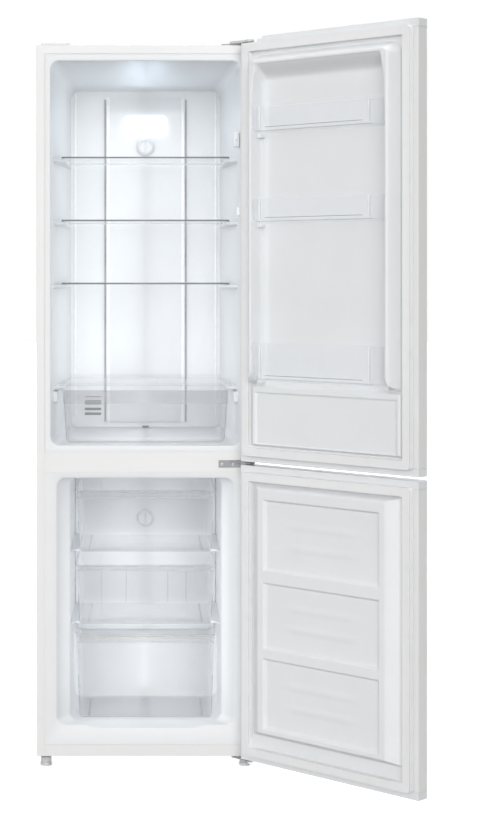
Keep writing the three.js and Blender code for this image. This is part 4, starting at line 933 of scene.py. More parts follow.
def knobShape(low, high):
    # a round dial: outer skirt with grip notches, recessed ring, raised bar and a pointer line painted
    # slightly dark as shade
    centre = centreOf(low, high)
    radius = (high.x - low.x) / 2
    front = low.y
    skirt = [(radius, front + 11.7), (radius, front + 6.5), (radius - 0.8, front + 5.2)]
    skirt += [(radius * 0.90, front + 4.6), (radius * 0.86, front + 3.4), (radius * 0.85, front + 1.4)]
    skirt += [(radius * 0.82, front + 0.6), (radius * 0.76, front + 0.3), (radius * 0.70, front + 1.1)]
    skirt += [(radius * 0.66, front + 3.0), (0.1, front + 3.2)]
    shape = Shape().turn("y", centre, skirt, 48)
    bar, pointer = around(centre[1], radius * 0.62), (centre[1] + radius * 0.2, centre[1] + radius * 0.56)
    shape.pad("y", around(centre[0], 4), bar, (front + 0.3, front + 4), 4, 1.2)
    shape.pad("y", around(centre[0], 0.7), pointer, (front + 0.15, front + 1), 0.4, 0.1, 1)
    grip = [(0.9, front + 11), (0.9, front + 5.6), (0.4, front + 5.2)]
    for place in ringOf(centre, radius * 0.955, 30):
        shape.turn("y", place, grip, 8)
    return shape


def makeKnobs():
    for node, name in (("fridge_knob", "fridgeDial"), ("freezer_knob", "freezerDial")):
        low, high = reach(node)
        build(name, knobShape(low, high), node, [knobPlastic, softGrooveShade], "white_plastic", [node], sharp=30)


def makeShelves():
    look = {"corner": 6, "edge": 0.7}
    for level in ("bottom", "middle", "top"):
        node = f"glass_shelf_{level}"
        low, high = reach(node)
        loops = []
        for z, inset in eased((low.z, high.z), look["edge"]):
            xSpan, ySpan = (drawnIn(span, inset) for span in spans(low, high, "xy"))
            outline = roundedLoop(xSpan, ySpan, look["corner"], 5)
            loops.append([(x, y, z) for x, y in outline])
        shape = Shape().loft(loops, look=2)
        # front faces take the edge painted dark as shade, the other sides the edge painted light
        for k, face in enumerate(shape.faces):
            ys = [shape.points[i][1] for i in face]
            if len(face) > 4:
                shape.looks[k] = 0
            elif max(ys) < low.y + look["corner"] * 0.5:
                shape.looks[k] = 1
        looks = [glass, shadedGlassRim, litGlassSide]
        build(f"glassShelf.{level}", shape, node, looks, "shelf_glass", [node])


def makeDoorSwitch():
    low, high = reach("door_switch")
    looks = [knobPlastic, grooveShadePlastic]
    shape = Shape().pad("y", *spans(low, high, "xzy"), 2, 1)
    shape.pad("y", (low.x + 2.5, high.x - 2), (low.z + 5, high.z - 5), (low.y - 0.4, low.y + 1), 2, 0.3)
    shape.screw("y", ((low.x + high.x) / 2, high.z - 5), low.y - 0.1, -1, 1.8, 0, 1)
    build("doorSwitch", shape, "cabinet", looks, "white_plastic", ["door_switch"])
    low, high = reach("switch_plunger")
    profile = [(0.1, low.y), (1.7, low.y + 0.2), (2.3, low.y + 0.9), (2.5, low.y + 2), (2.5, high.y)]
    shape = Shape().turn("y", centreOf(low, high), profile, 24)
    node = "switch_plunger"
    build("switchButton", shape, node, knobPlastic, "white_plastic", [node])


makeFridgeLiner()
makeAirDuct()
makeLampCover()
makeKnobs()
makeShelves()
makeDoorSwitch()
print("fridge compartment made")


# The clear trays: crisper, freezer drawers and door bins


def trayShape(xSpan, ySpan, zSpan, look):
    # an open tub with leaning sides, a rounded foot and a thicker rim
    (low, high), wall, foot = zSpan, look["wall"], look["foot"]
    rimDrop, inner = 0.8, foot - wall

    def ring(z, grow):
        lean = look["taper"] * (high - z) / (high - low)
        xs = (xSpan[0] + lean - grow, xSpan[1] - lean + grow)
        ys = (ySpan[0] - grow, ySpan[1] + grow)
        return [(x, y, z) for x, y in roundedLoop(xs, ys, look["corner"] + grow, 6)]

    loops = [ring(low, -foot)]
    loops += [ring(low + foot * (1 - s), -foot * (1 - c)) for s, c in bends(70, 45, 20, 0)]
    loops += [ring(high - rimDrop, 0), ring(high, -0.7), ring(high, -wall + 0.5)]
    loops += [ring(high - rimDrop, -wall), ring(low + foot, -wall)]
    for s, c in bends(30, 60, 90):
        loops.append(ring(low + foot - inner * s, -wall - inner * (1 - c)))
    return Shape().loft(loops)


def frontOutline(shape, low, high, look, fromTop, bend):
    # the thicker corner of a clear tray's front: down one side, along the bottom, up the other;
    # it lies a share of the corner's radius in from the side, and of that or the foot from the front
    sideShare, frontShare, radius = 0.12, 0.53, 0.8
    corner, foot = look["corner"], look["foot"]

    def sideAt(z):
        return high.x - look["taper"] * (high.z - z) / (high.z - low.z) - corner * sideShare

    base = low.z + foot * sideShare
    start = high.z - fromTop
    steps = [start + (base + bend - start) * k / 4 for k in range(5)]
    route = [(-sideAt(z), low.y + corner * frontShare, z) for z in steps]
    for angle in (22, 45, 67, 90):
        share, turn = angle / 90, math.radians(angle)
        x = -sideAt(base + bend) + bend * (1 - math.cos(turn))
        y = low.y + (corner * (1 - share) + foot * share) * frontShare
        route.append((x, y, base + bend * (1 - math.sin(turn))))
    route += [(-x, y, z) for x, y, z in route[::-1]]
    # the corner takes the dark clear plastic, painted shade
    shape.pipe(route, radius, 6, 2)


def makeCrisper():
    look = {"wall": 2.5, "corner": 16, "foot": 14, "taper": 9, "bandHeight": 34, "bandReach": 2.5}
    low, high = reach("crisper")
    shape = trayShape(*spans(low, high, "xyz"), look)
    # a band across the top of the front, in the darker clear plastic as painted shade
    bandZ = (high.z - look["bandHeight"], high.z - 0.5)
    bandY = (low.y - look["bandReach"], low.y - 0.4)
    shape.pad("y", (low.x + 2, high.x - 2), bandZ, bandY, 5, 0.8, 1)
    for side in (-1, 1):
        x = side * (high.x - 1.2)
        shape.pad("x", (low.y + 14, high.y - 14), (high.z - 3, high.z), sorted((x, x + side * 1.2)), 1, 0.4)
    frontOutline(shape, low, high, look, 18, 12)
    looks = [clear, shadedClearBand, shadedClearLine]
    build("crisperBin", shape, "crisper", looks, "clear_plastic", ["crisper"], sharp=45)
    node = "crisper_cover"
    low, high = reach(node)
    shape = Shape().pad("z", *spans(low, high, "xy"), (low.z, low.z + 4), 4, 1.2)
    shape.pad("z", (low.x, high.x), (high.y - 3, high.y), (low.z + 2, high.z), 1.4, 0.8)
    build("crisperLid", shape, node, looks[:2], "clear_plastic", [node], sharp=45)


def makeDrawers():
    look = {"wall": 2.5, "corner": 14, "foot": 9, "taper": 8, "band": 21, "middleBand": 15}
    for level in ("bottom", "middle", "top"):
        node = f"freezer_drawer_{level}"
        low, high = reach(node)
        shape = trayShape(*spans(low, high, "xyz"), look)
        top, band = high.z, look["middleBand"] if level == "middle" else look["band"]
        # handle: a rolled lip across the front with a finger groove under it, all drawn in the darker clear
        # plastic as painted shade
        grooveZ = (top - band, top - band + 5)
        shape.pad("y", (low.x + 3, high.x - 3), grooveZ, (low.y - 3.5, low.y + 0.5), 2.2, 1, 1)
        shape.pad("y", (low.x + 1, high.x - 1), (top - 5, top), (low.y - 5, low.y + 1), 2.2, 1.2, 1)
        backZ = (top - band + 3, top - 3)
        shape.pad("y", (low.x + 8, high.x - 8), backZ, (low.y - 1.0, low.y + 0.4), 2, 0.4, 1)
        for side in (-1, 1):
            # a runner rim along each side, and a rib under the floor
            x = side * high.x
            rim, rib = sorted((x - side * 0.6, x + side * 4)), onSide(side, high.x - 34, high.x - 30)
            shape.pad("x", (low.y + 16, high.y - 10), (top - 3.5, top), rim, 1.2, 0.6)
            shape.pad("z", rib, (low.y + 20, high.y - 20), (low.z + 1, low.z + 4), 1.5, 0.8)
        frontOutline(shape, low, high, look, (high.z - low.z) * 0.5, 7)
        looks = [clear, shadedClearBand, shadedClearLine]
        build(f"freezerDrawer.{level}", shape, node, looks, "clear_plastic", [node], sharp=45)


doorBinLevels = {"bottom": (963, 1053), "middle": (1341, 1401), "top": (1558, 1623)}
doorBin = {
    "half": 196.5, "back": -13, "front": 36, "ribs": 166,
    "wall": 2.5, "corner": 12, "foot": 8, "taper": 2,
}


def makeDoorBins():
    look = doorBin
    for level, (low, high) in doorBinLevels.items():
        node = f"door_bin_{level}"
        front = look["front"]
        shape = trayShape((-look["half"], look["half"]), (look["back"], front), (low, high), look)
        # a line and a band across the front, in the dark and the darker clear plastics as painted shade
        shape.pad("y", (-148, 148), (low + 12, low + 13.6), (front - 1, front - 0.1), 0.7, 0.3, 2)
        shape.pad("y", (-178, 178), (low + 2.5, low + 5), (front - 1.6, front - 0.2), 1, 0.4, 1)
        for side in (-1, 1):
            x = side * look["ribs"]
            # each rib is painted lighter as a highlight, with a line beside it painted dark as shade
            shape.pad("y", around(x, 2), (low + 8, high - 3), (front - 1.6, front), 1.5, 0.6, 3)
            shape.pad("y", (x - 4.4, x - 3.2), (low + 8, high - 3), (front - 1, front - 0.2), 0.6, 0.2, 1)
        looks = [clear, shadedClearBand, shadedClearLine, litClearRib]
        build(f"doorShelf.{level}", shape, node, looks, "clear_plastic", [node], door=True, sharp=45)


makeCrisper()
makeDrawers()
makeDoorBins()
print("trays made")


# The lower compartment: liner with its runners, and the back panel

freezerRoom = {
    "flangeHalf": half - 20.3,
    "flangeZ": (53.3, 726.7),
    "mouthHalf": 220,
    "half": 189,
    "floor": 104,
    "ceiling": 714,
    "mouthBottom": 95,
    "mouthDepth": 45,
    "depth": 455,
    "stepFront": 310,
    "stepTop": 265,
    "corner": 22,
    "wall": 1.5,
    "lipRise": 7.5,
    "lipHalf": (124, 146),
    "runnerReach": 24,
    "runners": (338.7, 520.7),
}


def freezerSection(y, side, low, top, lipRise=0.0, corner=freezerRoom["corner"]):
    # once round the compartment; extra points along the lower edge let the lip rise at both ends
    points = []
    bottomEdge = [(-side + corner + (2 * side - 2 * corner) * k / 24, low) for k in range(1, 24)]
    for x, z in roundedLoop((-side, side), (low, top), corner, 8) + bottomEdge:
        rise = lipRise * smooth(abs(x), *freezerRoom["lipHalf"]) * (1 - smooth(z, low, low + 60))
        points.append((x, y, z + rise))
    return points


def makeFreezerLiner():
    room = freezerRoom
    mouth, inner, low, top = (room[key] for key in ("mouthHalf", "half", "mouthBottom", "ceiling"))
    step, stepTop, deepFloor = room["stepFront"], room["stepTop"], room["floor"]
    flange = (room["flangeHalf"], *room["flangeZ"])
    loops = [freezerSection(y, *flange, corner=2) for y in (room["wall"], 0)]
    rounding = ((0, 1.6), (0.6, 0.5), (2, 0), (14, 0), (30, 0), (39, -0.2), (44, -0.5), (50, 0))
    for y, outside in rounding:
        share = min(y / room["mouthDepth"], 1)
        side = mouth + (inner - mouth) * share + outside
        floor = low + (deepFloor - low) * share - max(outside, 0)
        lift = room["lipRise"] * (1 - share)
        loops.append(freezerSection(y, side, floor, top + max(outside, 0), lift))
    for y, floor in (
        (step - 12, deepFloor), (step - 3, deepFloor + 3), (step, deepFloor + 12),
        (step + 0.5, stepTop - 8), (step + 8, stepTop), (room["depth"], stepTop),
    ):
        loops.append(freezerSection(y, inner, floor, top))
    shape = Shape().loft(loops, caps=(False, True))
    for level in room["runners"]:
        for side in (-1, 1):
            free, wall = side * (inner - room["runnerReach"]), side * (inner + 0.7)
            loops = []
            for y, share in ((75, 0.08), (96, 0.22), (116, 0.6), (128, 0.9), (138, 1), (395, 1)):
                edge, foot = wall + (free - wall) * share, level - 8 * share
                loops.append([(wall, y, level), (edge, y, level), (edge, y, foot), (wall, y, foot)])
            shape.loft(loops)
    for level in (240, 410, 600):  # shallow grooves pressed along the side walls
        for side in (-1, 1):
            groove = onSide(side, inner - 0.8, inner + 0.6)
            shape.pad("x", (60, 390), (level, level + 3), groove, 1.5, 0.6)
    build("freezerLiner", shape, "cabinet", liner, "white_plastic", ["freezer_liner"], sharp=38)


def makeEvaporatorCover():
    node = "evaporator_cover"
    low, high = reach(node)
    shape = Shape().pad("y", *spans(low, high, "xzy"), 22, 2)
    for z0, z1 in ((low.z + 8, 500), (620, high.z - 8)):
        shape.pad("y", (-118, 118), (z0, z1), (low.y - 1.2, low.y + 1), 8, 1)
    for x0 in (-70, 70):
        for k in range(3):
            for z in (high.z - 20 - 14 * k, low.z + 20 + 14 * k):
                shape.pad("y", around(x0, 50), around(z, 3), (low.y - 1.5, low.y + 0.6), 2.5, 0.8)
    # the joints take the darker groove plastic, painted shade
    for x in (-52, 60, 109):  # the joints of its lower panel
        shape.pad("y", around(x, 0.7), (338, 433), (low.y - 1.4, low.y + 0.4), 0.5, 0.2, 1)
    looks = [liner, grooveShadePlastic]
    build("evaporatorPanel", shape, "cabinet", looks, "white_plastic", [node], sharp=38)


makeFreezerLiner()
makeEvaporatorCover()
print("freezer compartment made")


# The doors, drawn closed and swung open when their meshes are made

fridgeLeaf = {"bottom": 759, "top": 1798, "notch": True}
freezerLeaf = {"bottom": 28, "top": 750, "notch": False}
notch = {"length": 69, "corner": 22, "wall": 10, "depth": 13}


def doorPlan(inset=0.0):
    # a door's outline from above: square at the liner, round at its front edges
    side, radius = half - inset, doorFace["edgeRadius"] - inset
    front, inner = doorFace["outer"] + inset, doorFace["inner"] - inset
    left = arc(-side + radius, front + radius, radius, 180, 270, 10)
    right = arc(side - radius, front + radius, radius, 270, 360, 10)
    return [(-side, inner)] + left + right + [(side, inner)]


def makeDoorSkin(name, node, body, leaf):
    low = leaf["bottom"] + doorFace["capHeight"] + seam
    high = leaf["top"] - doorFace["capHeight"] - seam
    lip = half - 12.5
    inner = doorFace["inner"]
    outline = doorPlan() + [(lip, inner), (lip, inner - 1)]
    outline += doorPlan(1)[::-1] + [(-lip, inner - 1), (-lip, inner)]
    shape = Shape().slab(outline, (low, high))
    build(name, shape, body, whiteSteel, "white_steel", [node], door=True, sharp=40, edge=0.3)


def addBore(shape, face, out, rise, lipRise):
    # a low bush where the hinge pin goes in, drawn without a bore
    profile = [(9, face - out * 0.5), (9, face + out * rise), (4.6, face + out * lipRise)]
    shape.turn("z", (hinge["x"], hinge["y"]), profile, 32, 1)


def makeDoorCap(name, node, body, zSpan, out, notched=False):
    # out is 1 for a cap at the top of a door and -1 for one at its bottom
    z0, z1 = zSpan
    shape = Shape()
    if notched:
        step, side = z1 - notch["depth"], half - notch["corner"]
        shape.slab(doorPlan(), (z0, step))
        plan = [point for point in doorPlan() if point[0] < side]
        wallBack, notchStart = doorFace["outer"] + notch["wall"], half - notch["length"]
        plan += [(side, doorFace["outer"]), (side, wallBack)]
        plan += [(notchStart, wallBack), (notchStart, doorFace["inner"])]
        shape.slab(plan, (step, z1))
        addBore(shape, step, 1, 1, 1.2)
    else:
        shape.slab(doorPlan(), zSpan)
        addBore(shape, z1 if out > 0 else z0, out, 0.6, 0.7)
    looks = [trimPlastic, greyPlastic]
    build(name, shape, body, looks, "white_plastic", [node], door=True, sharp=38, edge=1.4, edgeSteps=3)


def makeGasket(name, node, body, leaf):
    # a bellows seal: two pleats on each flank and a flat magnet strip in front
    look = {"inset": 15, "corner": 5}
    section = ((0, 0.3), (0, 3), (1.6, 4.6), (0, 6.4), (1.6, 8.4), (0.4, 10.2), (1.2, 13.5))
    section += ((20.8, 13.5), (21.6, 10.2), (20.4, 8.4), (22, 6.4), (20.4, 4.6), (22, 3), (22, 0.3))
    side = half - look["inset"]
    loops = []
    for inset, rise in section:
        zSpan = (leaf["bottom"] + look["inset"] + inset, leaf["top"] - look["inset"] - inset)
        corner = look["corner"] + max(0, 3 - inset / 6)
        outline = roundedLoop((-side + inset, side - inset), zSpan, corner, 5)
        loops.append([(x, doorFace["inner"] + rise, z) for x, z in outline])
    shape = Shape().loft(loops, ring=True)
    build(name, shape, body, rubber, "gasket", [node], door=True, sharp=50)


def spread(stops):
    # grid lines through every stop, in steps of about the length given with it
    lines = []
    for (start, step), (end, _) in zip(stops, stops[1:]):
        count = max(1, round((end - start) / step))
        lines += [start + (end - start) * k / count for k in range(count)]
    return lines + [stops[-1][0]]


def gridEdge(xs, zs):
    # once round a grid's border
    edge = [(x, zs[0]) for x in xs] + [(xs[-1], z) for z in zs[1:]]
    return edge + [(x, zs[-1]) for x in xs[-2::-1]] + [(xs[0], z) for z in zs[-2:0:-1]]


def reliefShape(xs, zs, height, loops):
    # a moulded sheet over a grid, closed by loops of (share of the width, y) round its border
    shape = Shape()
    columns = len(xs)
    for z in zs:
        shape.points += [(x, doorFace["inner"] + height(x, z), z) for x in xs]
    for j in range(len(zs) - 1):
        for i in range(columns - 1):
            a = j * columns + i
            shape.faces.append((a, a + 1, a + columns + 1, a + columns))
            shape.looks.append(0)
    border = gridEdge(xs, zs)
    rings = [[(x, doorFace["inner"] + height(x, z), z) for x, z in border]]
    rings += [[(x * wide, y, z) for x, z in border] for wide, y in loops]
    return shape.loft(rings, caps=(False, True))


dyke = {
    "base": 40, "crest": 61, "inner": 67, "foot": 72, "topFoot": 105, "height": 40, "topDrop": 6,
    "blockTop": 945, "blockHeight": 10, "landing": 16, "outerCorner": 34, "innerCorner": 14,
    "flare": 25, "flareRun": 42, "coveHeight": 3.2, "coveRun": 22,
    "panelInset": 54, "panelZ": (804, 933), "panelDepth": 4,
}


def cornerDistance(fromSide, fromTop, radius):
    # how far inside a shape with straight edges and a round corner a point lies
    if fromSide < radius and fromTop < radius:
        return radius - math.hypot(radius - fromSide, radius - fromTop)
    return min(fromSide, fromTop)


def fridgeDoorHeight(x, z):
    d = dyke
    fromSide, fromTop = half - abs(x), fridgeLeaf["top"] - d["topDrop"] - z
    outer = cornerDistance(fromSide, fromTop, d["base"] + d["outerCorner"])
    rise = smooth(outer, d["base"], d["crest"] + 1) ** 0.8
    # the side dykes flare out where they come down to the lower block
    flared = fromSide + d["flare"] * (1 - min(max((z - d["blockTop"]) / d["flareRun"], 0), 1)) ** 1.6
    squeeze = (d["foot"] - d["inner"]) / (d["topFoot"] - d["inner"])  # the top slope is a long one
    depth = min(fromTop, d["inner"] + (fromTop - d["inner"]) * squeeze)
    inner = cornerDistance(flared, depth, d["foot"] + d["innerCorner"])
    fall = 1 - smooth(inner, d["inner"] - 1, d["foot"])
    landing = smooth(z, d["blockTop"], d["blockTop"] + d["landing"])
    wall = min(rise, fall) * d["height"] * landing
    cove = d["coveHeight"] * (1 - smooth(flared, d["foot"], d["foot"] + d["coveRun"]))
    cove *= min(smooth(place, d["inner"] - 5, d["inner"]) for place in (flared, fromTop)) * landing
    edge = min(fromSide, z - fridgeLeaf["bottom"])
    under = 1 - smooth(z, d["blockTop"] - 2, d["blockTop"] + 5)
    block = smooth(edge, d["base"], d["base"] + 7) * under * d["blockHeight"]
    low, high = d["panelZ"]
    panelZ = min(smooth(z, low, low + 5), 1 - smooth(z, high - 5, high))
    sunk = min(smooth(fromSide, d["panelInset"], d["panelInset"] + 5), panelZ) * d["panelDepth"]
    return max(wall, cove, block - sunk, 0)


plug = {
    "height": 25, "run": 38, "endRun": 15, "base": 40, "z": (96.5, 712), "panelHalf": 176.5,
    "panels": ((120, 292), (313.5, 475), (502, 675)), "depth": 8, "edge": 6,
    "ridgeHeight": 1.8, "ridgeHalf": 116, "ridgeWidth": 8,
}


def freezerDoorHeight(x, z):
    p = plug
    across = smooth(half - abs(x), p["base"], p["base"] + p["run"])
    across = 0.55 * across + 0.45 * min(max((half - abs(x) - p["base"]) / p["run"], 0), 1)
    bottom, top = p["z"]
    up = min(smooth(z, bottom, bottom + p["endRun"]), 1 - smooth(z, top - p["endRun"], top))
    sink, ridge = 0.0, 0.0
    for low, high in p["panels"]:
        inside = min(
            1 - smooth(abs(x), p["panelHalf"] - p["edge"], p["panelHalf"]),
            smooth(z, low, low + p["edge"]),
            1 - smooth(z, high - p["edge"], high),
        )
        sink = max(sink, inside)
        if inside > 0.99:
            for share in (0.36, 0.66):
                off = (z - (low + (high - low) * share)) / p["ridgeWidth"]
                ends = 1 - smooth(abs(x), p["ridgeHalf"] - 40, p["ridgeHalf"] + 10)
                ridge = max(ridge, p["ridgeHeight"] * math.exp(-off * off) * ends)
    return min(across, up) * p["height"] - sink * p["depth"] + ridge


def mirrored(stops):
    # lines given from one side's edge to the middle, and mirrored to the other side
    left = [inset - half for inset in spread(stops + [(half, 1)])]
    shared = 1 if abs(left[-1]) < 0.01 else 0  # a line on the middle isn't drawn twice
    return left + [-x for x in left[::-1]][shared:]


def makeDoorFoam(word, xs, zs, height):
    # fills the leaf from behind its liner to behind its skin
    look = {"drop": 2.5, "skinGap": 1.6, "frontRadius": 16.4}
    widest = half - look["skinGap"]
    front = doorFace["outer"] + doorFace["edgeRadius"]
    radius = look["frontRadius"]
    loops = [(widest / xs[-1], doorFace["inner"] - look["drop"] - 0.3), (widest / xs[-1], front)]
    for s, c in bends(30, 60, 90):
        loops.append(((widest - radius * (1 - c)) / xs[-1], front - radius * s))
    shape = reliefShape(xs, zs, lambda x, z: height(x, z) - look["drop"], loops)
    body = f"{word}_door"
    build(f"{word}DoorFoam", shape, body, foam, "foam", [f"{body}_foam"], door=True, sharp=60)


def buildDoorLiner(word, shape):
    body = f"{word}_door"
    build(f"{word}DoorLiner", shape, body, liner, "white_plastic", [f"{body}_liner"], door=True, sharp=60)


def makeDoorLiners():
    d = dyke
    top = fridgeLeaf["top"] - d["topDrop"]
    xs = mirrored([(12.8, 9), (38, 1.6), (50, 2.0), (59, 1.3), (76, 4), (98, 14)])
    zs = spread([
        (fridgeLeaf["bottom"] + 19.3, 7), (798, 1.4), (812, 14), (926, 1.5), (992, 14),
        (top - 112, 3), (top - 72, 1.6), (top - 38, 5), (fridgeLeaf["top"] - 19.3, 1),
    ])
    makeDoorFoam("fridge", xs, zs, fridgeDoorHeight)
    shape = reliefShape(xs, zs, fridgeDoorHeight, [(1, doorFace["inner"] - 2)])
    for low, _ in doorBinLevels.values():  # lugs that carry the door bins
        for side in (-1, 1):
            wall = side * (half - d["foot"] + 2)
            shape.pad("y", sorted((wall, wall - side * 11)), (low - 10, low - seam), (-15, 6), 3, 2)
    buildDoorLiner("fridge", shape)
    p = plug
    xs = mirrored([(12.8, 9), (38, 2), (80, 4.5), (92, 1.5), (101, 7)])
    stops = [(freezerLeaf["bottom"] + 19.3, 7), (90, 2)]
    for low, high in p["panels"]:
        stops += [(low - 2, 1.5), (low + 8, 3.0), (high - 8, 1.5), (high + 2, 4)]
    stops += [(p["z"][1] - p["endRun"] - 2, 2), (p["z"][1] + 2, 6), (freezerLeaf["top"] - 19.3, 1)]
    zs = spread(stops)
    makeDoorFoam("freezer", xs, zs, freezerDoorHeight)
    shape = reliefShape(xs, zs, freezerDoorHeight, [(1, doorFace["inner"] - 2)])
    buildDoorLiner("freezer", shape)


def makeDoors():
    for leaf, word in ((fridgeLeaf, "fridge"), (freezerLeaf, "freezer")):
        body = f"{word}_door"
        low, high, cap = leaf["bottom"], leaf["top"], doorFace["capHeight"]
        makeDoorSkin(f"{word}DoorSkin", f"{body}_skin", body, leaf)
        makeDoorCap(f"{word}DoorFoot", f"{body}_cap_bottom", body, (low, low + cap), -1)
        makeDoorCap(f"{word}DoorHead", f"{body}_cap_top", body, (high - cap, high), 1, leaf["notch"])
        makeGasket(f"{word}DoorSeal", f"{body}_gasket", body, leaf)


makeDoors()
makeDoorLiners()
print("doors made")


# Hinge parts, feet, rollers, compressor and its cover


def makeHingeParts():
    looks = [screwSteel, darkPlastic]
    for index, node in enumerate(("mid_hinge_screw_left", "mid_hinge_screw_right")):
        low, high = reach(node)
        shape = Shape().screw("y", centreOf(low, high), high.y, -1, 4)
        build(f"hingeScrew.{index}", shape, "cabinet", looks, "hinge_steel", [node])
    low, high = reach("top_hinge_bracket")
    shape = Shape()
    for x, y in ((low.x + 16, 22), (low.x + 16, 46), (low.x + 52, 34)):
        shape.screw("z", (x, y), high.z, 1, 4.5)
    build("topHingeScrews", shape, "cabinet", looks, "hinge_steel")
    # a moulded cap over the top hinge's arm, and the nut under the bottom hinge's pin
    outline = [(209, 15), (209, 3), (hinge["x"] - 20, hinge["y"] + 14)]
    outline += arc(hinge["x"], hinge["y"], 10, 165, 375, 10) + [(half - 9, 3), (half - 9, 15)]
    shape = Shape().slab(outline, (high.z, high.z + 6.4))
    build("topHingeCap", shape, "cabinet", hingeCapPlastic, "white_plastic", edge=1.6, edgeSteps=3)
    plate = cabinet["bottom"] - seam - 3
    nut = [(7.5, plate), (7.5, plate - 1.2), (5.8, plate - 1.3), (5.8, plate - 6)]
    nut += [(4.8, plate - 6.8), (0.02, plate - 6.8)]
    shape = Shape().turn("z", (hinge["x"], hinge["y"]), nut, 6)
    build("hingePinNut", shape, "cabinet", screwSteel, "hinge_steel", edge=0.4)


def makeFeet():
    for side, node in (("left", "levelling_foot_left"), ("right", "levelling_foot_right")):
        low, high = reach(node)
        centre = centreOf(low, high, "xy")
        radius = (high.x - low.x) / 2
        neck = radius * 0.82
        profile = [(0.1, 0), (radius - 1, 0), (radius, 1), (radius, 6.5), (radius - 1, 7.5)]
        profile += [(neck, 9), (neck, 20.4), (radius * 0.78, 21), (4, 21)]
        profile += [(4 if k % 2 else 3.4, 21.5 + k) for k in range(23)] + [(3, 44.8), (0.1, 45)]
        shape = Shape().turn("z", centre, profile, 36)
        for place in ringOf(centre, radius * 0.86, 18):
            shape.turn("z", place, [(1.1, 8), (1.1, 20), (0.5, 20.8)], 8)  # a grip rib
        build(f"levellingFoot.{side}", shape, node, footPlastic, "grey_plastic", [node])
    for side, node in (("left", "rear_roller_left"), ("right", "rear_roller_right")):
        low, high = reach(node)
        radius, x0, x1 = (high.z - low.z) / 2, low.x, high.x
        outline = [(3.4, 0), (5, 0), (6, 2), (radius - 4, 2), (radius - 3, 0), (radius - 1, 0), (radius, 1)]
        profile = [(r, x0 + c) for r, c in outline] + [(r, x1 - c) for r, c in outline[::-1]]
        shape = Shape().turn("x", centreOf(low, high, "yz"), profile, 40, ring=True)
        build(f"rearRoller.{side}", shape, node, darkPlastic, "dark_plastic", [node])


def makeCompressor():
    # welded steel shell with its seam, feet on grommets, and the terminal cover on its side
    low, high = reach("compressor")
    x, y = 60, (low.y + high.y) / 2
    base, r = 44, 70
    h = high.z - base
    profile = [(0.1, base), (r * 0.6, base + 0.5), (r * 0.8, base + 4)]
    profile += [(r * wide, base + h * up) for wide, up in (
        (0.93, 0.12), (0.985, 0.25), (0.985, 0.52), (1, 0.535), (1, 0.56), (0.975, 0.575),
        (0.965, 0.72), (0.91, 0.85), (0.76, 0.94), (0.5, 0.985),
    )]
    profile.append((0.1, base + h))
    shape = Shape().turn("z", (x, y), profile, 56)
    shape.pad("z", (x - 90, x + 90), (y - 45, y + 45), (base - 0.9, base + 2.4), 16, 0.8)
    grommet = [(9, 35.3), (9, 38), (7.4, 39.2), (9, 40.4), (9, 43.8)]
    nut = [(5, 46.2), (5, 49), (3.5, 50)]
    for a in (-78, 78):
        for b in (-34, 34):
            shape.turn("z", (x + a, y + b), grommet, 24, look=1)
            shape.turn("z", (x + a, y + b), nut, 6, look=2)
    shape.pad("x", (y - 24, y + 24), (base + 30, base + 92), (x - 84, x - 62), 6, 3, look=1)
    looks = [blackEnamel, darkPlastic, screwSteel]
    build("compressorShell", shape, "cabinet", looks, "black_paint", ["compressor"])


def makeCompressorCover():
    # pressed cover with air slots cut right through it, and a round hole for the gland
    look = {"slotXs": (-80, 40, 160), "slotHalf": 45, "slotZs": (70, 100, 130, 160, 190), "slotRise": 4}
    gland = {"x": -180, "z": 90, "radius": 10.6, "sides": 24}
    low, high = reach("compressor_cover")
    depth = (low.y, high.y)
    slotXs = [around(x, look["slotHalf"]) for x in look["slotXs"]]
    slotZs = [around(z, look["slotRise"]) for z in look["slotZs"]]
    xs = [low.x] + [x for slot in slotXs for x in slot] + [high.x]
    zs = [low.z] + [z for slot in slotZs for z in slot] + [high.z]
    shape = Shape()

    def through(outline):
        shape.loft([[(x, y, z) for x, z in outline] for y in depth], caps=(False, False))

    for y in depth:
        for j in range(len(zs) - 1):
            for i in range(1, len(xs) - 1):
                if i % 2 == 1 and j % 2 == 1:
                    continue
                first = len(shape.points)
                corners = ((i, j), (i + 1, j), (i + 1, j + 1), (i, j + 1))
                shape.points += [(xs[a], y, zs[b]) for a, b in corners]
                shape.faces.append((first, first + 1, first + 2, first + 3))
                shape.looks.append(0)
        addPlateWithHole(shape, (low.x, xs[1]), (low.z, high.z), y, gland)
    for xSpan in slotXs:
        for zSpan in slotZs:
            through(roundedLoop(xSpan, zSpan, 0.1, 1))
    through([(low.x, low.z), (high.x, low.z), (high.x, high.z), (low.x, high.z)])
    through(arc(gland["x"], gland["z"], gland["radius"], 0, 345, gland["sides"] - 1))
    for x in (low.x + 10, 0, high.x - 10):
        for z in (low.z + 10, high.z - 10):
            shape.screw("y", (x, z), high.y - 0.05, 1, 3.21, 1, 2)
    looks = [zinc, screwSteel, darkPlastic]
    build("compressorCover", shape, "cabinet", looks, "zinc_steel", ["compressor_cover"])


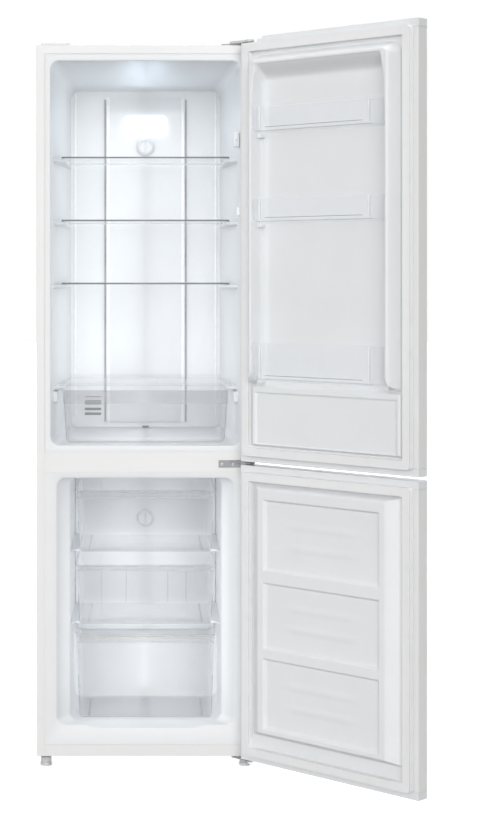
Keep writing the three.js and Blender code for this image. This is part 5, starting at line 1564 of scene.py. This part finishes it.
def addPlateWithHole(shape, xSpan, zSpan, y, hole):
    # a flat plate between a rectangle and a round hole, in as many quads as the hole has sides
    cx, cz, sides = hole["x"], hole["z"], hole["sides"]
    ring = arc(cx, cz, hole["radius"], 0, 345, sides - 1)

    def stretchTo(span, centre, step):
        # how many steps lie between the hole's centre and the plate's edge
        if abs(step) <= 1e-6:
            return 1e9
        return (span[1 if step > 0 else 0] - centre) / step

    border = []
    for a, b in ring:
        dx, dz = a - cx, b - cz
        stretch = min(stretchTo(xSpan, cx, dx), stretchTo(zSpan, cz, dz))
        border.append((cx + dx * stretch, cz + dz * stretch))
    (x0, x1), (z0, z1) = xSpan, zSpan
    for corner in ((x0, z0), (x1, z0), (x1, z1), (x0, z1)):
        nearest = min(range(sides), key=lambda k: math.dist(border[k], corner))
        border[nearest] = corner
    shape.loft([[(a, y, b) for a, b in loop] for loop in (ring, border)], caps=(False, False))


def makeGland():
    low, high = reach("cable_gland")
    y0, y1 = low.y, high.y
    profile = [(4, y0 + 0.5), (4.6, y0), (8, y0), (9.7, y0 + 1.5), (9.9, y1 - 3.8), (13, y1 - 3.6)]
    profile += [(14, y1 - 2.6), (13.4, y1 - 1), (9, y1 - 0.2), (5, y1), (4, y1 - 0.6)]
    shape = Shape().turn("y", centreOf(low, high), profile, 36, ring=True)
    build("cableGland", shape, "cabinet", darkPlastic, "dark_plastic", ["cable_gland"])


makeHingeParts()
makeFeet()
makeCompressor()
makeCompressorCover()
makeGland()
print("fittings made")


# Nodes of the frame that keep their own shape get a finish and soft edges

finishes = {
    "base_pan": zinc, "centre_rail": whiteSteel, "bottom_rail": whiteSteel, "cabinet_foam": foam,
    "top_hinge_bracket": hingeSteel, "mid_hinge_bracket": hingeSteel, "bottom_hinge_bracket": hingeSteel,
    "lamp_board": darkPlastic, "thermostat_box": darkPlastic, "evaporator": aluminium,
    "defrost_heater": aluminium, "fan_motor": darkPlastic, "evaporator_fan": darkPlastic,
    "compressor_base": zinc, "drip_tray": darkPlastic, "condenser_coil": copper,
}
softEdges = {
    "centre_rail": 0.4, "bottom_rail": 0.4, "top_hinge_bracket": 0.8, "mid_hinge_bracket": 0.7,
    "bottom_hinge_bracket": 0.8, "base_pan": 0.3, "compressor_base": 0.5, "thermostat_box": 1.5,
    "lamp_board": 0.3, "drip_tray": 0.8,
}
for name, material in finishes.items():
    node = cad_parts[name]
    for place in node.material_slots:
        place.material = material
    if name in softEdges:
        roundEdges(node, softEdges[name])
print("frame nodes finished:", len(finishes))
bare = [name for name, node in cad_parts.items() if not node.hide_render and name not in finishes]
print("nodes without a finish:", bare)
